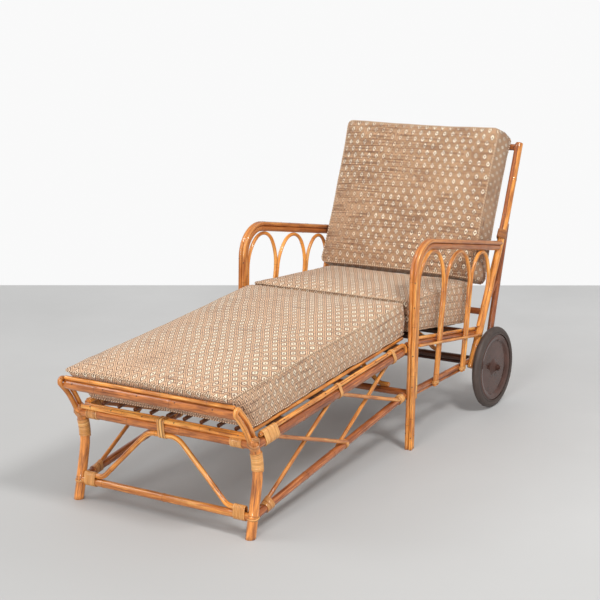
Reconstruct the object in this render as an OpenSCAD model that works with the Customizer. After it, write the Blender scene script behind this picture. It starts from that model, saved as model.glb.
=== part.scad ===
// Rattan chaise longue: bent pole frame, cane trim, two rear wheels, three loose cushions.
// Lengths are in millimetres. The foot end is -Y, the back is +Y, and the floor is Z = 0.

/* [Overall] */
// Middle of the chair to the plane of each arm
arm_x = 320; // [300:1:345]
// Front foot to arm foot, along the floor
arm_foot_y = 844; // [800:1:900]
// Front foot to the wheels' axle
axle_y = 1355; // [1340:1:1390]
// Radius of the wheels, outside the tyre
wheel_r = 136; // [128:1:145]

/* [Poles and canes] */
// Front leg pole
leg_d = 29; // [26:0.5:31]
// Top rails of the leg rest, and the front rails
rail_d = 27; // [24:0.5:29]
// Low rails of the leg rest
low_rail_d = 23; // [20:0.5:25]
// Arm pole, inside the bend
arm_pole_d = 20; // [18:0.5:22]
// Canes laid on the arm pole
arm_cane_d = 13; // [11:0.5:14]
// Back post pole
post_d = 25; // [22:0.5:27]
// Rear leg that holds the axle
rear_leg_d = 22; // [20:0.5:24]
// Seat rail beside the balusters
seat_rail_d = 22; // [20:0.5:24]
// Low rail beside the balusters
arm_low_d = 18; // [16:0.5:20]
// Cross rails and the rails of the back
cross_d = 22; // [18:0.5:24]
// Canes laid on the top rails
trim_d = 14; // [12:0.5:15]
// Canes of the side lattice and the deck
lattice_d = 12; // [10:0.5:13]
// Canes of the arm arches
arch_d = 12; // [10:0.5:13]
// Canes of the front, middle and rear arches
brace_d = 15; // [13:0.5:16]
// Canes of the back, and behind the posts
back_cane_d = 12; // [10:0.5:13]
// Spacing of the canes down the back
back_cane_pitch = 80; // [70:1:90]
// Thin canes outside the balusters and under the low rails
thin_d = 9; // [7:0.5:10]

/* [Leg rest] */
// Height of the top front rail
front_rail_z = 256; // [248:1:264]
// Height of the lower front rail
low_front_z = 55; // [45:1:65]
// Rise of the side rails towards the seat, in degrees
rest_rise = 4.4; // [3:0.1:5.5]
// Lean of the front feet, in degrees
foot_lean = 15; // [13:0.5:17]
// Straight part of the front leg, from the floor
foot_run = 140; // [132:1:148]
// Bend of the front leg
leg_bend_r = 190; // [180:1:200]
// Turn of that bend, in degrees
leg_turn = 42; // [38:1:45]

/* [Foot horns] */
// Hairpin cane of a horn
horn_d = 15; // [13:0.5:16]
// Leg top to the middle of the horn's end bend
horn_run = 104; // [96:1:112]
// Forward turn of the horn, in degrees
horn_turn = 14; // [10:1:18]
// Bumper rail between the horns
bumper_d = 28; // [25:0.5:30]
// Thin cane on the bumper rail
bumper_cane_d = 12; // [10:0.5:13]
// Forward lean of that cane on the rail, in degrees
bumper_cane_lean = 10; // [0:1:20]
// Drop of the bumper rail below the middle of the horns' loops
bumper_drop = 10; // [0:1:12]

/* [Arms] */
// Backward lean of the arm leg, in degrees
arm_lean = 4.5; // [3:0.1:6]
// Fall of the arm towards the back, in degrees
arm_fall = 11.4; // [10:0.1:13]
// Height where the lines of leg and arm would meet
arm_corner_z = 636; // [620:1:650]
// Bend of the arm pole
arm_bend_r = 85; // [75:1:95]
// First baluster pair, from that corner along the arm
baluster_1 = 203; // [196:1:210]
// Second baluster pair, the same way
baluster_2 = 383; // [376:1:390]
// Top of the first arch, the same way
apex_1 = 112; // [106:1:118]
// Top of the last arch, the same way
apex_3 = 451; // [446:1:456]
// Top radius of the two wide arches
arch_top_r = 66; // [60:1:70]
// Top radius of the narrow arch
end_arch_top_r = 45; // [40:1:50]

/* [Seat and back] */
// Height of the seat rail at the arm leg
seat_rail_z = 324; // [318:1:330]
// Fall of the seat rail towards the back, in degrees
seat_fall = 8.7; // [7:0.1:9.5]
// Foot of the back post, from the front foot
post_foot_y = 1250; // [1242:1:1258]
// Height of the post's foot
post_foot_z = 155; // [150:1:160]
// Lean of the post below its bend, in degrees
post_lean = 29.5; // [28.5:0.1:30.5]
// Post below its bend
post_low_run = 466; // [450:1:480]
// Turn of the post towards upright, in degrees
post_turn = 6.5; // [5:0.5:8]
// Bend of the post
post_bend_r = 800; // [700:10:900]
// Post above its bend
post_top_run = 232; // [220:1:250]

/* [Deck] */
// Width of a cross slat
slat_w = 55; // [45:1:60]
// Thickness of a cross slat
slat_t = 12; // [10:0.5:14]
// Front foot to the first slat
slat_first = 164; // [163:1:168]
// Spacing of the leg rest slats
slat_pitch = 212; // [211:0.5:213]
// Spacing of the lengthwise deck canes
deck_pitch = 58; // [54:1:62]

/* [Cushions] */
// Width of the leg rest and seat cushions
cushion_w = 592; // [570:1:598]
// Width of the back cushion
back_cushion_w = 604; // [580:1:608]
// Thickness of the leg rest cushion at its seams
rest_cushion_t = 117; // [100:1:120]
// Thickness of the seat cushion at its front seams
seat_cushion_t = 98; // [85:1:105]
// Thickness of the back cushion at its seams
back_cushion_t = 103; // [80:0.5:103]
// Height of the back cushion
back_cushion_h = 535.5; // [500:0.5:536]
// Swell of a cushion's face above its seams
crown = 24; // [10:1:28]
// Swell of the leg rest cushion's upper face
rest_crown = 32; // [20:1:36]

/* [Wheels] */
// Axle rod
axle_d = 10; // [8:0.5:11]
// Width of the tyre
tyre_w = 25; // [22:0.5:28]
// Depth of the tyre
tyre_t = 24; // [20:0.5:27]

/* [Hidden] */
$fn = 48;

// Clearance between pieces that touch
gap = 0.3;
// Running clearance round the axle
fit = 0.08;
// Wall of a cane binding
wrap_t = 2.4;
// Share of an arch's turn that its top radius takes, in degrees
top_turn = 50;
// Rings where a bent pole's runs meet: how far they stand out, and their width
node_lip = 0.15;
node_run = 1;

// Points in the side plane are [y, z]; a heading is the angle from +Z towards +Y
function ahead(p, heading, run) = p + run * [sin(heading), cos(heading)];
function beside(p, heading, off) = p + off * [cos(heading), -sin(heading)];
// End of a path of steps [straight run, bend radius, turn], and its heading
function path_end(p, heading, steps, i = 0) =
  i == len(steps) ? [p, heading] :
  let (
    q = ahead(p, heading, steps[i][0]),
    r = steps[i][1] * sign(steps[i][2]),
    turned = heading + steps[i][2]
  )
  path_end(beside(beside(q, heading, r), turned, -r), turned, steps, i + 1);

// Planes of the rails, inboard of the balusters
rail_x = arm_x - arch_d / 2 - gap - seat_rail_d / 2;
arm_low_x = arm_x - arch_d / 2 - gap - arm_low_d / 2;

// Front leg and horn
leg_end_run = 6;
leg_steps = [[foot_run, leg_bend_r, -leg_turn], [leg_end_run, 0, 0]];
leg_end = path_end([0, 0], foot_lean, leg_steps);
leg_top = leg_end[0];
leg_heading = leg_end[1];
// Bend of the front leg: its middle, and the leg's axis at a height on the bend
leg_bend_at = beside(ahead([0, 0], foot_lean, foot_run), foot_lean, -leg_bend_r);
function leg_y(z) = leg_bend_at[0] + sqrt(pow(leg_bend_r, 2) - pow(z - leg_bend_at[1], 2));
front_rail_y = leg_y(front_rail_z);
low_front_y = low_front_z * tan(foot_lean);
// Half the width of a horn's hairpin, and its straight run below and above the bend
horn_half = horn_d / 2 + 2;
horn_straight = 25;
horn_bend_r = (horn_run - 2 * horn_straight) / (horn_turn * PI / 180);
horn_steps = [[horn_straight, horn_bend_r, -horn_turn], [horn_straight, 0, 0]];
bumper_heading = leg_heading - horn_turn;
horn_loop = path_end(leg_top, leg_heading, horn_steps)[0];
bumper = ahead(horn_loop, bumper_heading, -bumper_drop);

// Side rails of the leg rest: height of the axis at y; they start a little below the front rail
rest_drop = 5;
function rest_z(y) = front_rail_z - rest_drop + (y - front_rail_y) * tan(rest_rise);
// Seat rails: height of the axis at y
function seat_z(y) = seat_rail_z - (y - arm_leg_y(seat_rail_z)) * tan(seat_fall);
function arm_leg_y(z) = arm_foot_y + z * tan(arm_lean);
// How far the two canes' axes lie outside the arm pole's axis, nested in its groove
cane_side = arm_cane_d / 2 + gap / 2;
cane_off = sqrt(pow(arm_pole_d / 2 + arm_cane_d / 2 + gap, 2) - pow(cane_side, 2));
function arm_front_y(z) = arm_leg_y(z) - (cane_off + arm_cane_d / 2) / cos(arm_lean);

// Low rails
arm_low_z = wheel_r + axle_d / 2 + gap + cross_d + gap + arm_low_d / 2;
low_rise = atan((arm_low_z - low_front_z) / (arm_foot_y - low_front_y));
function low_z(y) = low_front_z + (y - low_front_y) * tan(low_rise);

// Arm
arm_turn = 90 + arm_fall - arm_lean;
arm_heading = 90 + arm_fall;
arm_corner = [arm_leg_y(arm_corner_z), arm_corner_z];
bend_reach = arm_bend_r * tan(arm_turn / 2);
leg_run = arm_corner_z / cos(arm_lean) - bend_reach;

// Back post
post_steps = [[post_low_run, post_bend_r, -post_turn], [post_top_run, 0, 0]];
post_foot = [post_foot_y, post_foot_z];
post_top = path_end(post_foot, post_lean, post_steps)[0];
post_heading = post_lean - post_turn;
function post_y(z) = post_foot_y + (z - post_foot_z) * tan(post_lean);
// Where the arm's axis meets the post's axis, measured along the arm
arm_reach = (post_y(arm_corner_z) - arm_corner[0]) * cos(post_lean)
  / cos(post_lean - arm_fall);
arm_joint = ahead(arm_corner, arm_heading, arm_reach);

// Rear leg: from under the axle up to the back of the post
rear_leg_reach = 45.4;
rear_leg_off = 8.3;
rear_leg_top = beside(ahead(post_foot, post_lean, post_low_run + rear_leg_reach), post_lean, rear_leg_off);
rear_lean = atan2(rear_leg_top[0] - axle_y, rear_leg_top[1] - wheel_r);
rear_leg_tail = 24;
rear_leg_foot = ahead([axle_y, wheel_r], rear_lean, -rear_leg_tail);

// The origin lies on the floor, under the middle of the whole length
front_y = horn_loop[0] - horn_half - horn_d / 2;
back_cane_off = cross_d / 2 + gap + back_cane_d / 2;
back_cane_short = 4;
back_y = post_top[0] - back_cane_short * sin(post_heading)
  + (back_cane_off + back_cane_d / 2) * cos(post_heading);
mid_y = (front_y + back_y) / 2;

// Every node is drawn from the front foot and moved to the origin here
module placed() {
  translate([0, -mid_y, 0]) children();
}

module left() {
  mirror([1, 0, 0]) children();
}

module both() {
  children();
  left() children();
}

// Straight pole between two points
module pole(p, q, d) {
  v = q - p;
  run = norm(v);
  translate(p) rotate([0, acos(v[2] / run), atan2(v[1], v[0])]) cylinder(d = d, h = run);
}

// Straight pole in a side plane
module side_pole(x, p, q, d) {
  pole([x, p[0], p[1]], [x, q[0], q[1]], d);
}

// Straight pole across the chair
module cross_pole(y, z, half, d) {
  translate([-half, y, z]) rotate([0, 90, 0]) cylinder(d = d, h = 2 * half);
}

// Ring where a pole's straight runs and bends meet, like a node of the cane
module node_ring(d) {
  translate([0, 0, -node_run / 2]) cylinder(d = d + 2 * node_lip, h = node_run);
}

// Bent pole: starts upwards, and a positive turn bends it towards +Y
module bent(steps, d, i = 0) {
  if (i < len(steps)) {
    run = steps[i][0];
    r = steps[i][1];
    turn = steps[i][2];
    if (run > 0) cylinder(d = d, h = run);
    translate([0, 0, run]) {
      if (turn != 0) {
        node_ring(d);
        mirror([0, turn < 0 ? 1 : 0, 0]) translate([0, r, 0]) rotate([90, 0, -90])
          rotate_extrude(angle = abs(turn)) translate([r, 0]) circle(d = d);
      }
      translate([0, sign(turn) * r * (1 - cos(turn)), r * sin(abs(turn))]) rotate([-turn, 0, 0]) {
        if (turn != 0 && i + 1 < len(steps) && steps[i + 1][0] > 0) node_ring(d);
        bent(steps, d, i + 1);
      }
    }
  }
}

// Bent pole in a side plane, from a point and a heading
module side_bent(x, p, heading, steps, d) {
  translate([x, p[0], p[1]]) rotate([-heading, 0, 0]) bent(steps, d);
}

// Keeps what stands above the floor
module on_floor() {
  intersection() {
    children();
    translate([-arm_foot_y, -arm_foot_y, 0]) cube([2 * arm_foot_y, 4 * arm_foot_y, 2 * arm_foot_y]);
  }
}

// Outline round a group of circles [x, y, r]: the point of each that lies farthest out
function outer_point(circles, a) =
  let (
    reach = [for (c = circles) c[0] * cos(a) + c[1] * sin(a) + c[2]],
    c = circles[farthest(reach)]
  )
  [c[0] + c[2] * cos(a), c[1] + c[2] * sin(a)];
function farthest(values) =
  [for (i = [0 : len(values) - 1]) if (values[i] == max(values)) i][0];

outline_turn = 15;
module outline(circles, grow, turn) {
  grown = [for (c = circles) [c[0], c[1], (c[2] + grow) / cos(turn / 2)]];
  polygon([for (a = [0 : turn : 359]) outer_point(grown, a)]);
}

// Binding wound round a group of poles that run upwards here, centred on z = 0
module binding(circles, run, turn = outline_turn) {
  translate([0, 0, -run / 2]) linear_extrude(run) difference() {
    outline(circles, gap + wrap_t, turn);
    outline(circles, gap, turn);
  }
}

// Front legs
module front_leg_shape(d) {
  side_bent(rail_x, ahead([0, 0], foot_lean, -10), foot_lean,
    [[foot_run + 10, leg_bend_r, -leg_turn], [leg_end_run, 0, 0]], d);
}

module front_leg() {
  color("peru") on_floor() front_leg_shape(leg_d);
}

// Hairpin horns at the foot end
module front_horn() {
  base = ahead(leg_top, leg_heading, gap);
  color("goldenrod") side_bent(rail_x, beside(base, leg_heading, -horn_half), leg_heading, [
    [horn_straight, horn_bend_r - horn_half, -horn_turn],
    [horn_straight - gap, horn_half, 180],
    [horn_straight - gap, horn_bend_r + horn_half, horn_turn],
    [horn_straight, 0, 0]
  ], horn_d);
}

module bumper_rail() {
  color("sienna") cross_pole(bumper[0], bumper[1], rail_x - horn_d / 2 - gap, bumper_d);
}

module bumper_cane() {
  off = bumper_d / 2 + gap + bumper_cane_d / 2;
  p = ahead(bumper, -bumper_cane_lean, off);
  color("goldenrod") cross_pole(p[0], p[1], rail_x - horn_d / 2 - gap - 2, bumper_cane_d);
}

module top_front_rail() {
  color("sienna") difference() {
    cross_pole(front_rail_y, front_rail_z, rail_x, rail_d);
    both() front_leg_shape(leg_d + 2 * gap);
    both() side_rail_shape(rail_d + 2 * gap);
  }
}

// Two canes nested side by side on the top front rail, this far out and up from its middle
top_cane_side = trim_d / 2 + gap / 2;
top_cane_up = sqrt(pow(rail_d / 2 + trim_d / 2 + gap, 2) - pow(top_cane_side, 2));

module top_cane_pair(d) {
  for (s = [-1, 1])
    cross_pole(front_rail_y + s * top_cane_side, front_rail_z + top_cane_up,
      rail_x - leg_d / 2 - 2 * gap, d);
}

module top_front_canes() {
  color("goldenrod") top_cane_pair(trim_d);
}

module lower_front_rail() {
  color("sienna") difference() {
    cross_pole(low_front_y, low_front_z, rail_x, low_rail_d);
    both() front_leg_shape(leg_d + 2 * gap);
    both() low_side_shape(low_rail_d + 2 * gap);
  }
}

// Flat-topped arches, each half from its middle:
// [level run, bend radius, turn in degrees, foot bend radius, foot run]
front_arch_form = [28, 60, 44, 40, 20];
middle_arch_form = [70, 60, 40, 40, 22];
rear_arch_form = [60, 40, 60, 14, 8];

module half_arch(form, drop, d) {
  turn = form[2];
  sides = (drop - (form[1] + form[3]) * (1 - cos(turn))) / sin(turn);
  rotate([0, 90, 0]) rotate([0, 0, -90])
    bent([[form[0], form[1], turn], [sides, form[3], -turn], [form[4], 0, 0]], d);
}

// Arch across the chair, from a high point to the rail that its feet lie on
module cross_arch(top, foot, form, d) {
  tilt = atan2(top[0] - foot[0], top[1] - foot[1]);
  translate([0, top[0], top[1]]) rotate([-tilt, 0, 0]) both()
    half_arch(form, norm(top - foot), d);
}

// The top of the front arch lies under the rail, and a little towards the foot end
front_arch_top = [-3, -(rail_d / 2 + gap + brace_d / 2)];

module front_arch() {
  foot_off = low_rail_d / 2 + gap + brace_d / 2;
  color("goldenrod") cross_arch(
    [front_rail_y, front_rail_z] + front_arch_top,
    [low_front_y, low_front_z + foot_off],
    front_arch_form, brace_d);
}

// Side rails of the leg rest, with a thin cane on top that hooks over the rear end
hook_off = rail_d / 2 + gap + trim_d / 2;
hook_reach = sqrt(pow((arm_cane_d + trim_d) / 2 + 2 * gap, 2) - pow(arm_x - cane_side - rail_x, 2));
rail_end_y = arm_leg_y(rest_z(arm_foot_y)) - cane_off / cos(arm_lean) - hook_reach - hook_off;

module side_rail_shape(d) {
  side_pole(rail_x, [front_rail_y, rest_z(front_rail_y)], [rail_end_y, rest_z(rail_end_y)], d);
}

module side_rail() {
  color("sienna") difference() {
    side_rail_shape(rail_d);
    front_leg_shape(leg_d + 2 * gap);
  }
}

module side_rail_cane() {
  off = hook_off;
  start = 58;
  run = (rail_end_y - start) / cos(rest_rise);
  p = beside([start, rest_z(start)], 90 - rest_rise, -off);
  color("gold") side_bent(rail_x, p, 90 - rest_rise, [[run, off, 100], [4, 0, 0]], trim_d);
}

module low_side_shape(d) {
  end_y = arm_front_y(arm_low_z - low_rail_d) - gap;
  side_pole(rail_x, [low_front_y, low_z(low_front_y)], [end_y, low_z(end_y)], d);
}

module low_side_rail() {
  color("sienna") difference() {
    low_side_shape(low_rail_d);
    front_leg_shape(leg_d + 2 * gap);
  }
}

// Lattice canes: two inboard, two outboard, cut to the rails
lattice_mid_y = 447;
lattice_in = [
  [[60, low_z(60)], [lattice_mid_y, rest_z(lattice_mid_y)]],
  [[440, low_z(440)], [770, rest_z(770)]]
];
lattice_out = [
  [[110, rest_z(110)], [495, low_z(495)]],
  [[lattice_mid_y, rest_z(lattice_mid_y)], [800, low_z(800)]]
];

module lattice_canes(d) {
  off = lattice_d / 2 + gap;
  for (c = lattice_in) side_pole(rail_x - off, c[0], c[1], d);
  for (c = lattice_out) side_pole(rail_x + off, c[0], c[1], d);
}

module side_lattice() {
  color("chocolate") difference() {
    lattice_canes(lattice_d);
    side_pole(rail_x, [0, rest_z(0)], [arm_foot_y, rest_z(arm_foot_y)], rail_d + 2 * gap);
    side_pole(rail_x, [0, low_z(0)], [arm_foot_y, low_z(arm_foot_y)], low_rail_d + 2 * gap);
  }
}

// Arm pole: leg, bend and arm in one length
module arm_pole_shape(d) {
  side_bent(arm_x, ahead([arm_foot_y, 0], arm_lean, -10), arm_lean,
    [[leg_run + 10, arm_bend_r, arm_turn], [arm_reach - bend_reach, 0, 0]], d);
}

module arm_leg_shape(d) {
  side_pole(arm_x, [arm_foot_y, 0], [arm_leg_y(leg_run), leg_run], d);
}

module arm_cane_legs(d) {
  for (s = [-1, 1]) translate([s * cane_side, -cane_off / cos(arm_lean), 0]) arm_leg_shape(d);
}

module post_low_shape(d, below = 0, above = 0) {
  from = ahead(post_foot, post_lean, -below);
  to = ahead(post_foot, post_lean, post_low_run + above);
  side_pole(arm_x, from, to, d);
}

module arm_pole() {
  color("sienna") difference() {
    on_floor() arm_pole_shape(arm_pole_d);
    post_low_shape(post_d + 2 * gap);
  }
}

module arm_canes() {
  color("goldenrod") difference() {
    on_floor() for (s = [-1, 1])
      side_bent(arm_x + s * cane_side, beside(ahead([arm_foot_y, 0], arm_lean, -10), arm_lean, -cane_off),
        arm_lean, [[leg_run + 10, arm_bend_r + cane_off, arm_turn], [arm_reach - bend_reach, 0, 0]],
        arm_cane_d);
    post_low_shape(post_d + 2 * gap);
  }
}

// Haunch radius of an arch side, so that it reaches the given width at the given turn
function haunch_r(width, turn, top_r) =
  let (cot = cos(turn) / sin(turn))
  (width - top_r * (sin(top_turn) - (1 - cos(top_turn)) * cot))
  / ((sin(turn) - sin(top_turn)) - (cos(top_turn) - cos(turn)) * cot);

// One side of an arch under the arm, down to a height: dir is 1 towards the back
module arch_side(apex, dir, width, turn, top_r, end_z) {
  haunch = haunch_r(width, turn, top_r);
  start = beside(ahead(arm_corner, arm_heading, apex), arm_heading, arch_drop);
  heading = dir > 0 ? arm_heading : arm_heading - 180;
  bends = [[0, top_r, dir * top_turn], [0, haunch, dir * (turn - top_turn)]];
  arrive = path_end(start, heading, bends);
  leg = (arrive[0][1] - end_z) / -cos(arrive[1]);
  side_bent(arm_x, start, heading, concat(bends, [[leg, 0, 0]]), arch_d);
}

arch_drop = arm_pole_d / 2 + gap + arch_d / 2;
pair_off = arch_d / 2 + gap / 2;
// Inner corners where the arch lines meet the lines beside the arm leg and the post
first_corner = arch_drop / tan((180 - arm_turn) / 2);
post_turn_down = 90 - arm_fall + post_lean;
post_off = post_d / 2 + gap + arch_d / 2;
last_corner = arm_reach - (post_off + arch_drop * cos(180 - post_turn_down)) / sin(post_turn_down);
baluster_end_z = arm_low_z - arm_low_d / 2 - 4;

module arm_arches() {
  apex_2 = (baluster_1 + baluster_2) / 2;
  color("goldenrod") {
    arch_side(apex_1, -1, apex_1 - first_corner, arm_turn, arch_top_r, baluster_end_z - 6);
    arch_side(apex_1, 1, baluster_1 - pair_off - apex_1, 90, arch_top_r, baluster_end_z);
    arch_side(apex_2, -1, apex_2 - baluster_1 - pair_off, 90, arch_top_r, baluster_end_z);
    arch_side(apex_2, 1, baluster_2 - pair_off - apex_2, 90, arch_top_r, baluster_end_z);
    arch_side(apex_3, -1, apex_3 - baluster_2 - pair_off, 90, end_arch_top_r, baluster_end_z);
    arch_side(apex_3, 1, last_corner - apex_3, post_turn_down, end_arch_top_r, 285);
  }
}

// Seat rail: notched round the arm leg and the post
seat_start_y = arm_front_y(seat_rail_z) + 7;
seat_end_y = post_y(seat_z(axle_y)) + 27;

module seat_rail() {
  color("rosybrown") difference() {
    side_pole(rail_x, [seat_start_y, seat_z(seat_start_y)], [seat_end_y, seat_z(seat_end_y)], seat_rail_d);
    arm_leg_shape(arm_pole_d + 2 * gap);
    arm_cane_legs(arm_cane_d + 2 * gap);
    post_low_shape(post_d + 2 * gap);
  }
}

// Thin cane on the seat rail, and another outside the balusters
module seat_canes() {
  d = lattice_d;
  up = seat_rail_d / 2 + gap + d / 2;
  from = arm_leg_y(seat_rail_z) + arm_pole_d / 2 + 4;
  out_x = arm_x + arch_d / 2 + gap + thin_d / 2;
  out_end = axle_y - 46;
  color("goldenrod") {
    difference() {
      side_pole(rail_x, [from, seat_z(from) + up], [seat_end_y - 8, seat_z(seat_end_y - 8) + up], d);
      post_low_shape(post_d + 2 * gap);
    }
    difference() {
      side_pole(out_x, [from, seat_z(from)], [out_end, seat_z(out_end)], thin_d);
      post_low_shape(post_d + 2 * gap);
    }
  }
}

// Low rail: from the low cross rail to behind the rear leg, resting on the axle beam
module arm_low_rail() {
  from = arm_leg_y(arm_low_z) + cross_d / 2 + gap;
  color("rosybrown") difference() {
    side_pole(arm_low_x, [from, arm_low_z], [axle_y + 22, arm_low_z], arm_low_d);
    arm_leg_shape(arm_pole_d + 2 * gap);
    post_low_shape(post_d + 2 * gap, below = post_d);
    rear_leg_shape(rear_leg_d + 2 * gap);
  }
  under_z = arm_low_z - arm_low_d / 2 - gap - thin_d / 2;
  color("goldenrod")
    side_pole(arm_low_x, [from, under_z], [post_foot_y - post_d, under_z], thin_d);
}

seat_cross_z = seat_z(arm_leg_y(seat_rail_z)) - seat_rail_d / 2 - gap - cross_d / 2 - 1;

// The arm leg and its canes, where a cross rail is coped against them
module arm_leg_socket() {
  arm_leg_shape(arm_pole_d + 2 * gap);
  arm_cane_legs(arm_cane_d + 2 * gap);
}

module seat_cross_rail() {
  color("sienna") difference() {
    cross_pole(arm_leg_y(seat_cross_z), seat_cross_z, arm_x - 4, cross_d);
    both() arm_leg_socket();
  }
}

module low_cross_rail() {
  color("saddlebrown") difference() {
    cross_pole(arm_leg_y(arm_low_z), arm_low_z, arm_x - 4, cross_d);
    both() arm_leg_socket();
  }
}

module middle_arch() {
  off = cross_d / 2 + gap + brace_d / 2;
  color("goldenrod") cross_arch(
    [arm_leg_y(seat_cross_z), seat_cross_z - off], [arm_leg_y(arm_low_z), arm_low_z + off],
    middle_arch_form, brace_d);
}

// Back posts and the panel between them
module back_post() {
  color("darkorange") side_bent(arm_x, post_foot, post_lean, post_steps, post_d);
}

module post_cane() {
  off = post_d / 2 + gap + back_cane_d / 2;
  low = arm_joint[1] + 30;
  skip = (low - post_foot_z) / cos(post_lean);
  from = beside(ahead(post_foot, post_lean, skip), post_lean, -off);
  steps = [[post_low_run - skip, post_bend_r - off, -post_turn], [post_top_run - 8, 0, 0]];
  color("saddlebrown") side_bent(arm_x, from, post_lean, steps, back_cane_d);
}

top_rail_at = ahead(post_top, post_heading, -cross_d / 2 - 6);
module back_top_rail() {
  below = ahead(post_top, post_heading, -4 * post_d);
  over = ahead(post_top, post_heading, post_d);
  color("sienna") difference() {
    cross_pole(top_rail_at[0], top_rail_at[1], arm_x, cross_d);
    both() side_pole(arm_x, below, over, post_d + 2 * gap);
  }
}

low_rail_skip = 195;
low_rail_at = ahead(post_foot, post_lean, low_rail_skip);
module back_low_rail() {
  color("sienna") difference() {
    cross_pole(low_rail_at[0], low_rail_at[1], arm_x, cross_d);
    both() post_low_shape(post_d + 2 * gap);
  }
}

module back_canes() {
  off = back_cane_off;
  skip = low_rail_skip - 16;
  from = beside(ahead(post_foot, post_lean, skip), post_lean, off);
  steps = [
    [post_low_run - skip, post_bend_r + off, -post_turn],
    [post_top_run - back_cane_short, 0, 0]
  ];
  color("goldenrod") for (i = [-3 : 3])
    side_bent(i * back_cane_pitch, from, post_lean, steps, back_cane_d);
}

// Rear cross rail, inboard of the seat rails
rear_cross_y = seat_end_y - cross_d / 2 - 4;
module rear_cross_rail() {
  half = rail_x - seat_rail_d / 2 - gap;
  color("sienna") cross_pole(rear_cross_y, seat_z(rear_cross_y), half, cross_d);
}

// Rear legs, drilled for the axle
module rear_leg_shape(d) {
  side_pole(arm_x, rear_leg_foot, rear_leg_top, d);
}

module rear_leg() {
  color("brown") difference() {
    rear_leg_shape(rear_leg_d);
    post_low_shape(post_d + 2 * gap, above = 120);
    cross_pole(axle_y, wheel_r, arm_x + rear_leg_d, axle_d + 2 * fit);
  }
}

module rear_strut() {
  low = [post_y(340), 340];
  high = ahead(rear_leg_foot, rear_lean, 320);
  color("brown") difference() {
    side_pole(arm_x, low, high, lattice_d);
    post_low_shape(post_d + 2 * gap);
    rear_leg_shape(rear_leg_d + 2 * gap);
  }
}

beam_z = wheel_r + axle_d / 2 + gap + cross_d / 2;
module rear_arch() {
  off = cross_d / 2 + gap + brace_d / 2;
  color("chocolate") cross_arch(
    [rear_cross_y, seat_z(rear_cross_y) - off], [axle_y, beam_z + off],
    rear_arch_form, brace_d);
}

module axle_beam() {
  color("saddlebrown") cross_pole(axle_y, beam_z, arm_x - rear_leg_d / 2 - gap, cross_d);
}

// Wheels
hub_in_x = arm_x + rear_leg_d / 2 + 2 + 2 * gap;
wheel_x = hub_in_x + 2 + tyre_w / 2;
hub_out_x = wheel_x + tyre_w / 2 + 4;
rim_r = wheel_r - tyre_t;
hub_r = 15;

// A wheel's revolved profile [radius, x], turned onto the axle
module wheel_turned() {
  translate([0, axle_y, wheel_r]) rotate([0, 90, 0]) rotate_extrude() children();
}

module axle_rod() {
  color("black") cross_pole(axle_y, wheel_r, hub_out_x + 14, axle_d);
}

// Washers inside each wheel, and a cap nut outside
module axle_nuts() {
  color("dimgray") both() {
    wheel_turned() translate([axle_d / 2 + fit, arm_x + rear_leg_d / 2 + gap]) square([8, 2]);
    wheel_turned() translate([axle_d / 2 + fit, hub_out_x + gap]) polygon([
      [0, 0], [8, 0], [8, 2], [5, 2], [5, 11], [0, 11]
    ]);
  }
}

// Dished disc with a rolled rim and a hub
module wheel_disc() {
  dish = 3.5;
  color("saddlebrown") wheel_turned() difference() {
    polygon([
      [axle_d / 2 + fit, hub_in_x], [hub_r, hub_in_x], [hub_r + 4, wheel_x - dish],
      [rim_r - 26, wheel_x - 1], [rim_r - 14, wheel_x - 9], [rim_r - gap / 2, wheel_x - 9],
      [rim_r - gap / 2, wheel_x + 9], [rim_r - 8, wheel_x + 12], [rim_r - 18, wheel_x + 10],
      [rim_r - 24, wheel_x + dish], [hub_r + 14, wheel_x + 1 + dish], [hub_r + 3, hub_out_x - 7],
      [hub_r - 3, hub_out_x], [axle_d / 2 + fit, hub_out_x]
    ]);
    translate([rim_r - 7, wheel_x - 9]) circle(r = 3);
  }
}

// Solid tyre with a moulded groove on each face
module tyre() {
  crown_r = tyre_w / 2;
  color("dimgray") wheel_turned() difference() {
    union() {
      translate([wheel_r - crown_r, wheel_x]) circle(r = crown_r);
      translate([rim_r + gap / 2, wheel_x - crown_r]) square([wheel_r - crown_r - rim_r - gap / 2, tyre_w]);
    }
    translate([0, wheel_x - tyre_w]) square([rim_r + gap / 2, 2 * tyre_w]);
    for (s = [-1, 1]) translate([rim_r + 6, wheel_x + s * (crown_r + 1)]) circle(r = 2.5);
  }
}

// Deck: flat slats on the rails, canes along them
rest_slat_z = sqrt(pow(rail_d / 2, 2) - pow(trim_d / 2 + gap, 2)) + gap;
seat_slat_z = sqrt(pow(seat_rail_d / 2, 2) - pow(6 + gap, 2)) + gap;
seat_slats = [960, 1150];

module slat(y, z, slope, lift, half) {
  translate([0, y, z]) rotate([slope, 0, 0]) translate([-half, -slat_w / 2, lift])
    cube([2 * half, slat_w, slat_t]);
}

module deck_slats() {
  color("saddlebrown") {
    for (i = [0 : 3]) {
      y = slat_first + i * slat_pitch;
      slat(y, rest_z(y), rest_rise, rest_slat_z, rail_x - trim_d / 2 - gap);
    }
    for (y = seat_slats) slat(y, seat_z(y), -seat_fall, seat_slat_z, rail_x - 6 - gap);
  }
}

rest_deck_off = rest_slat_z + slat_t + gap + lattice_d / 2;
seat_deck_off = seat_slat_z + slat_t + gap + lattice_d / 2;
deck_start = front_rail_y + trim_d + 7;
deck_end = arm_leg_y(seat_rail_z) - 4;

module rest_deck_cane(x) {
  a = beside([deck_start, rest_z(deck_start)], 90 - rest_rise, -rest_deck_off);
  b = beside([deck_end, rest_z(deck_end)], 90 - rest_rise, -rest_deck_off);
  side_pole(x, a, b, lattice_d);
}

module deck_canes() {
  color("saddlebrown") for (i = [-4 : 4]) rest_deck_cane(i * deck_pitch);
}

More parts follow.
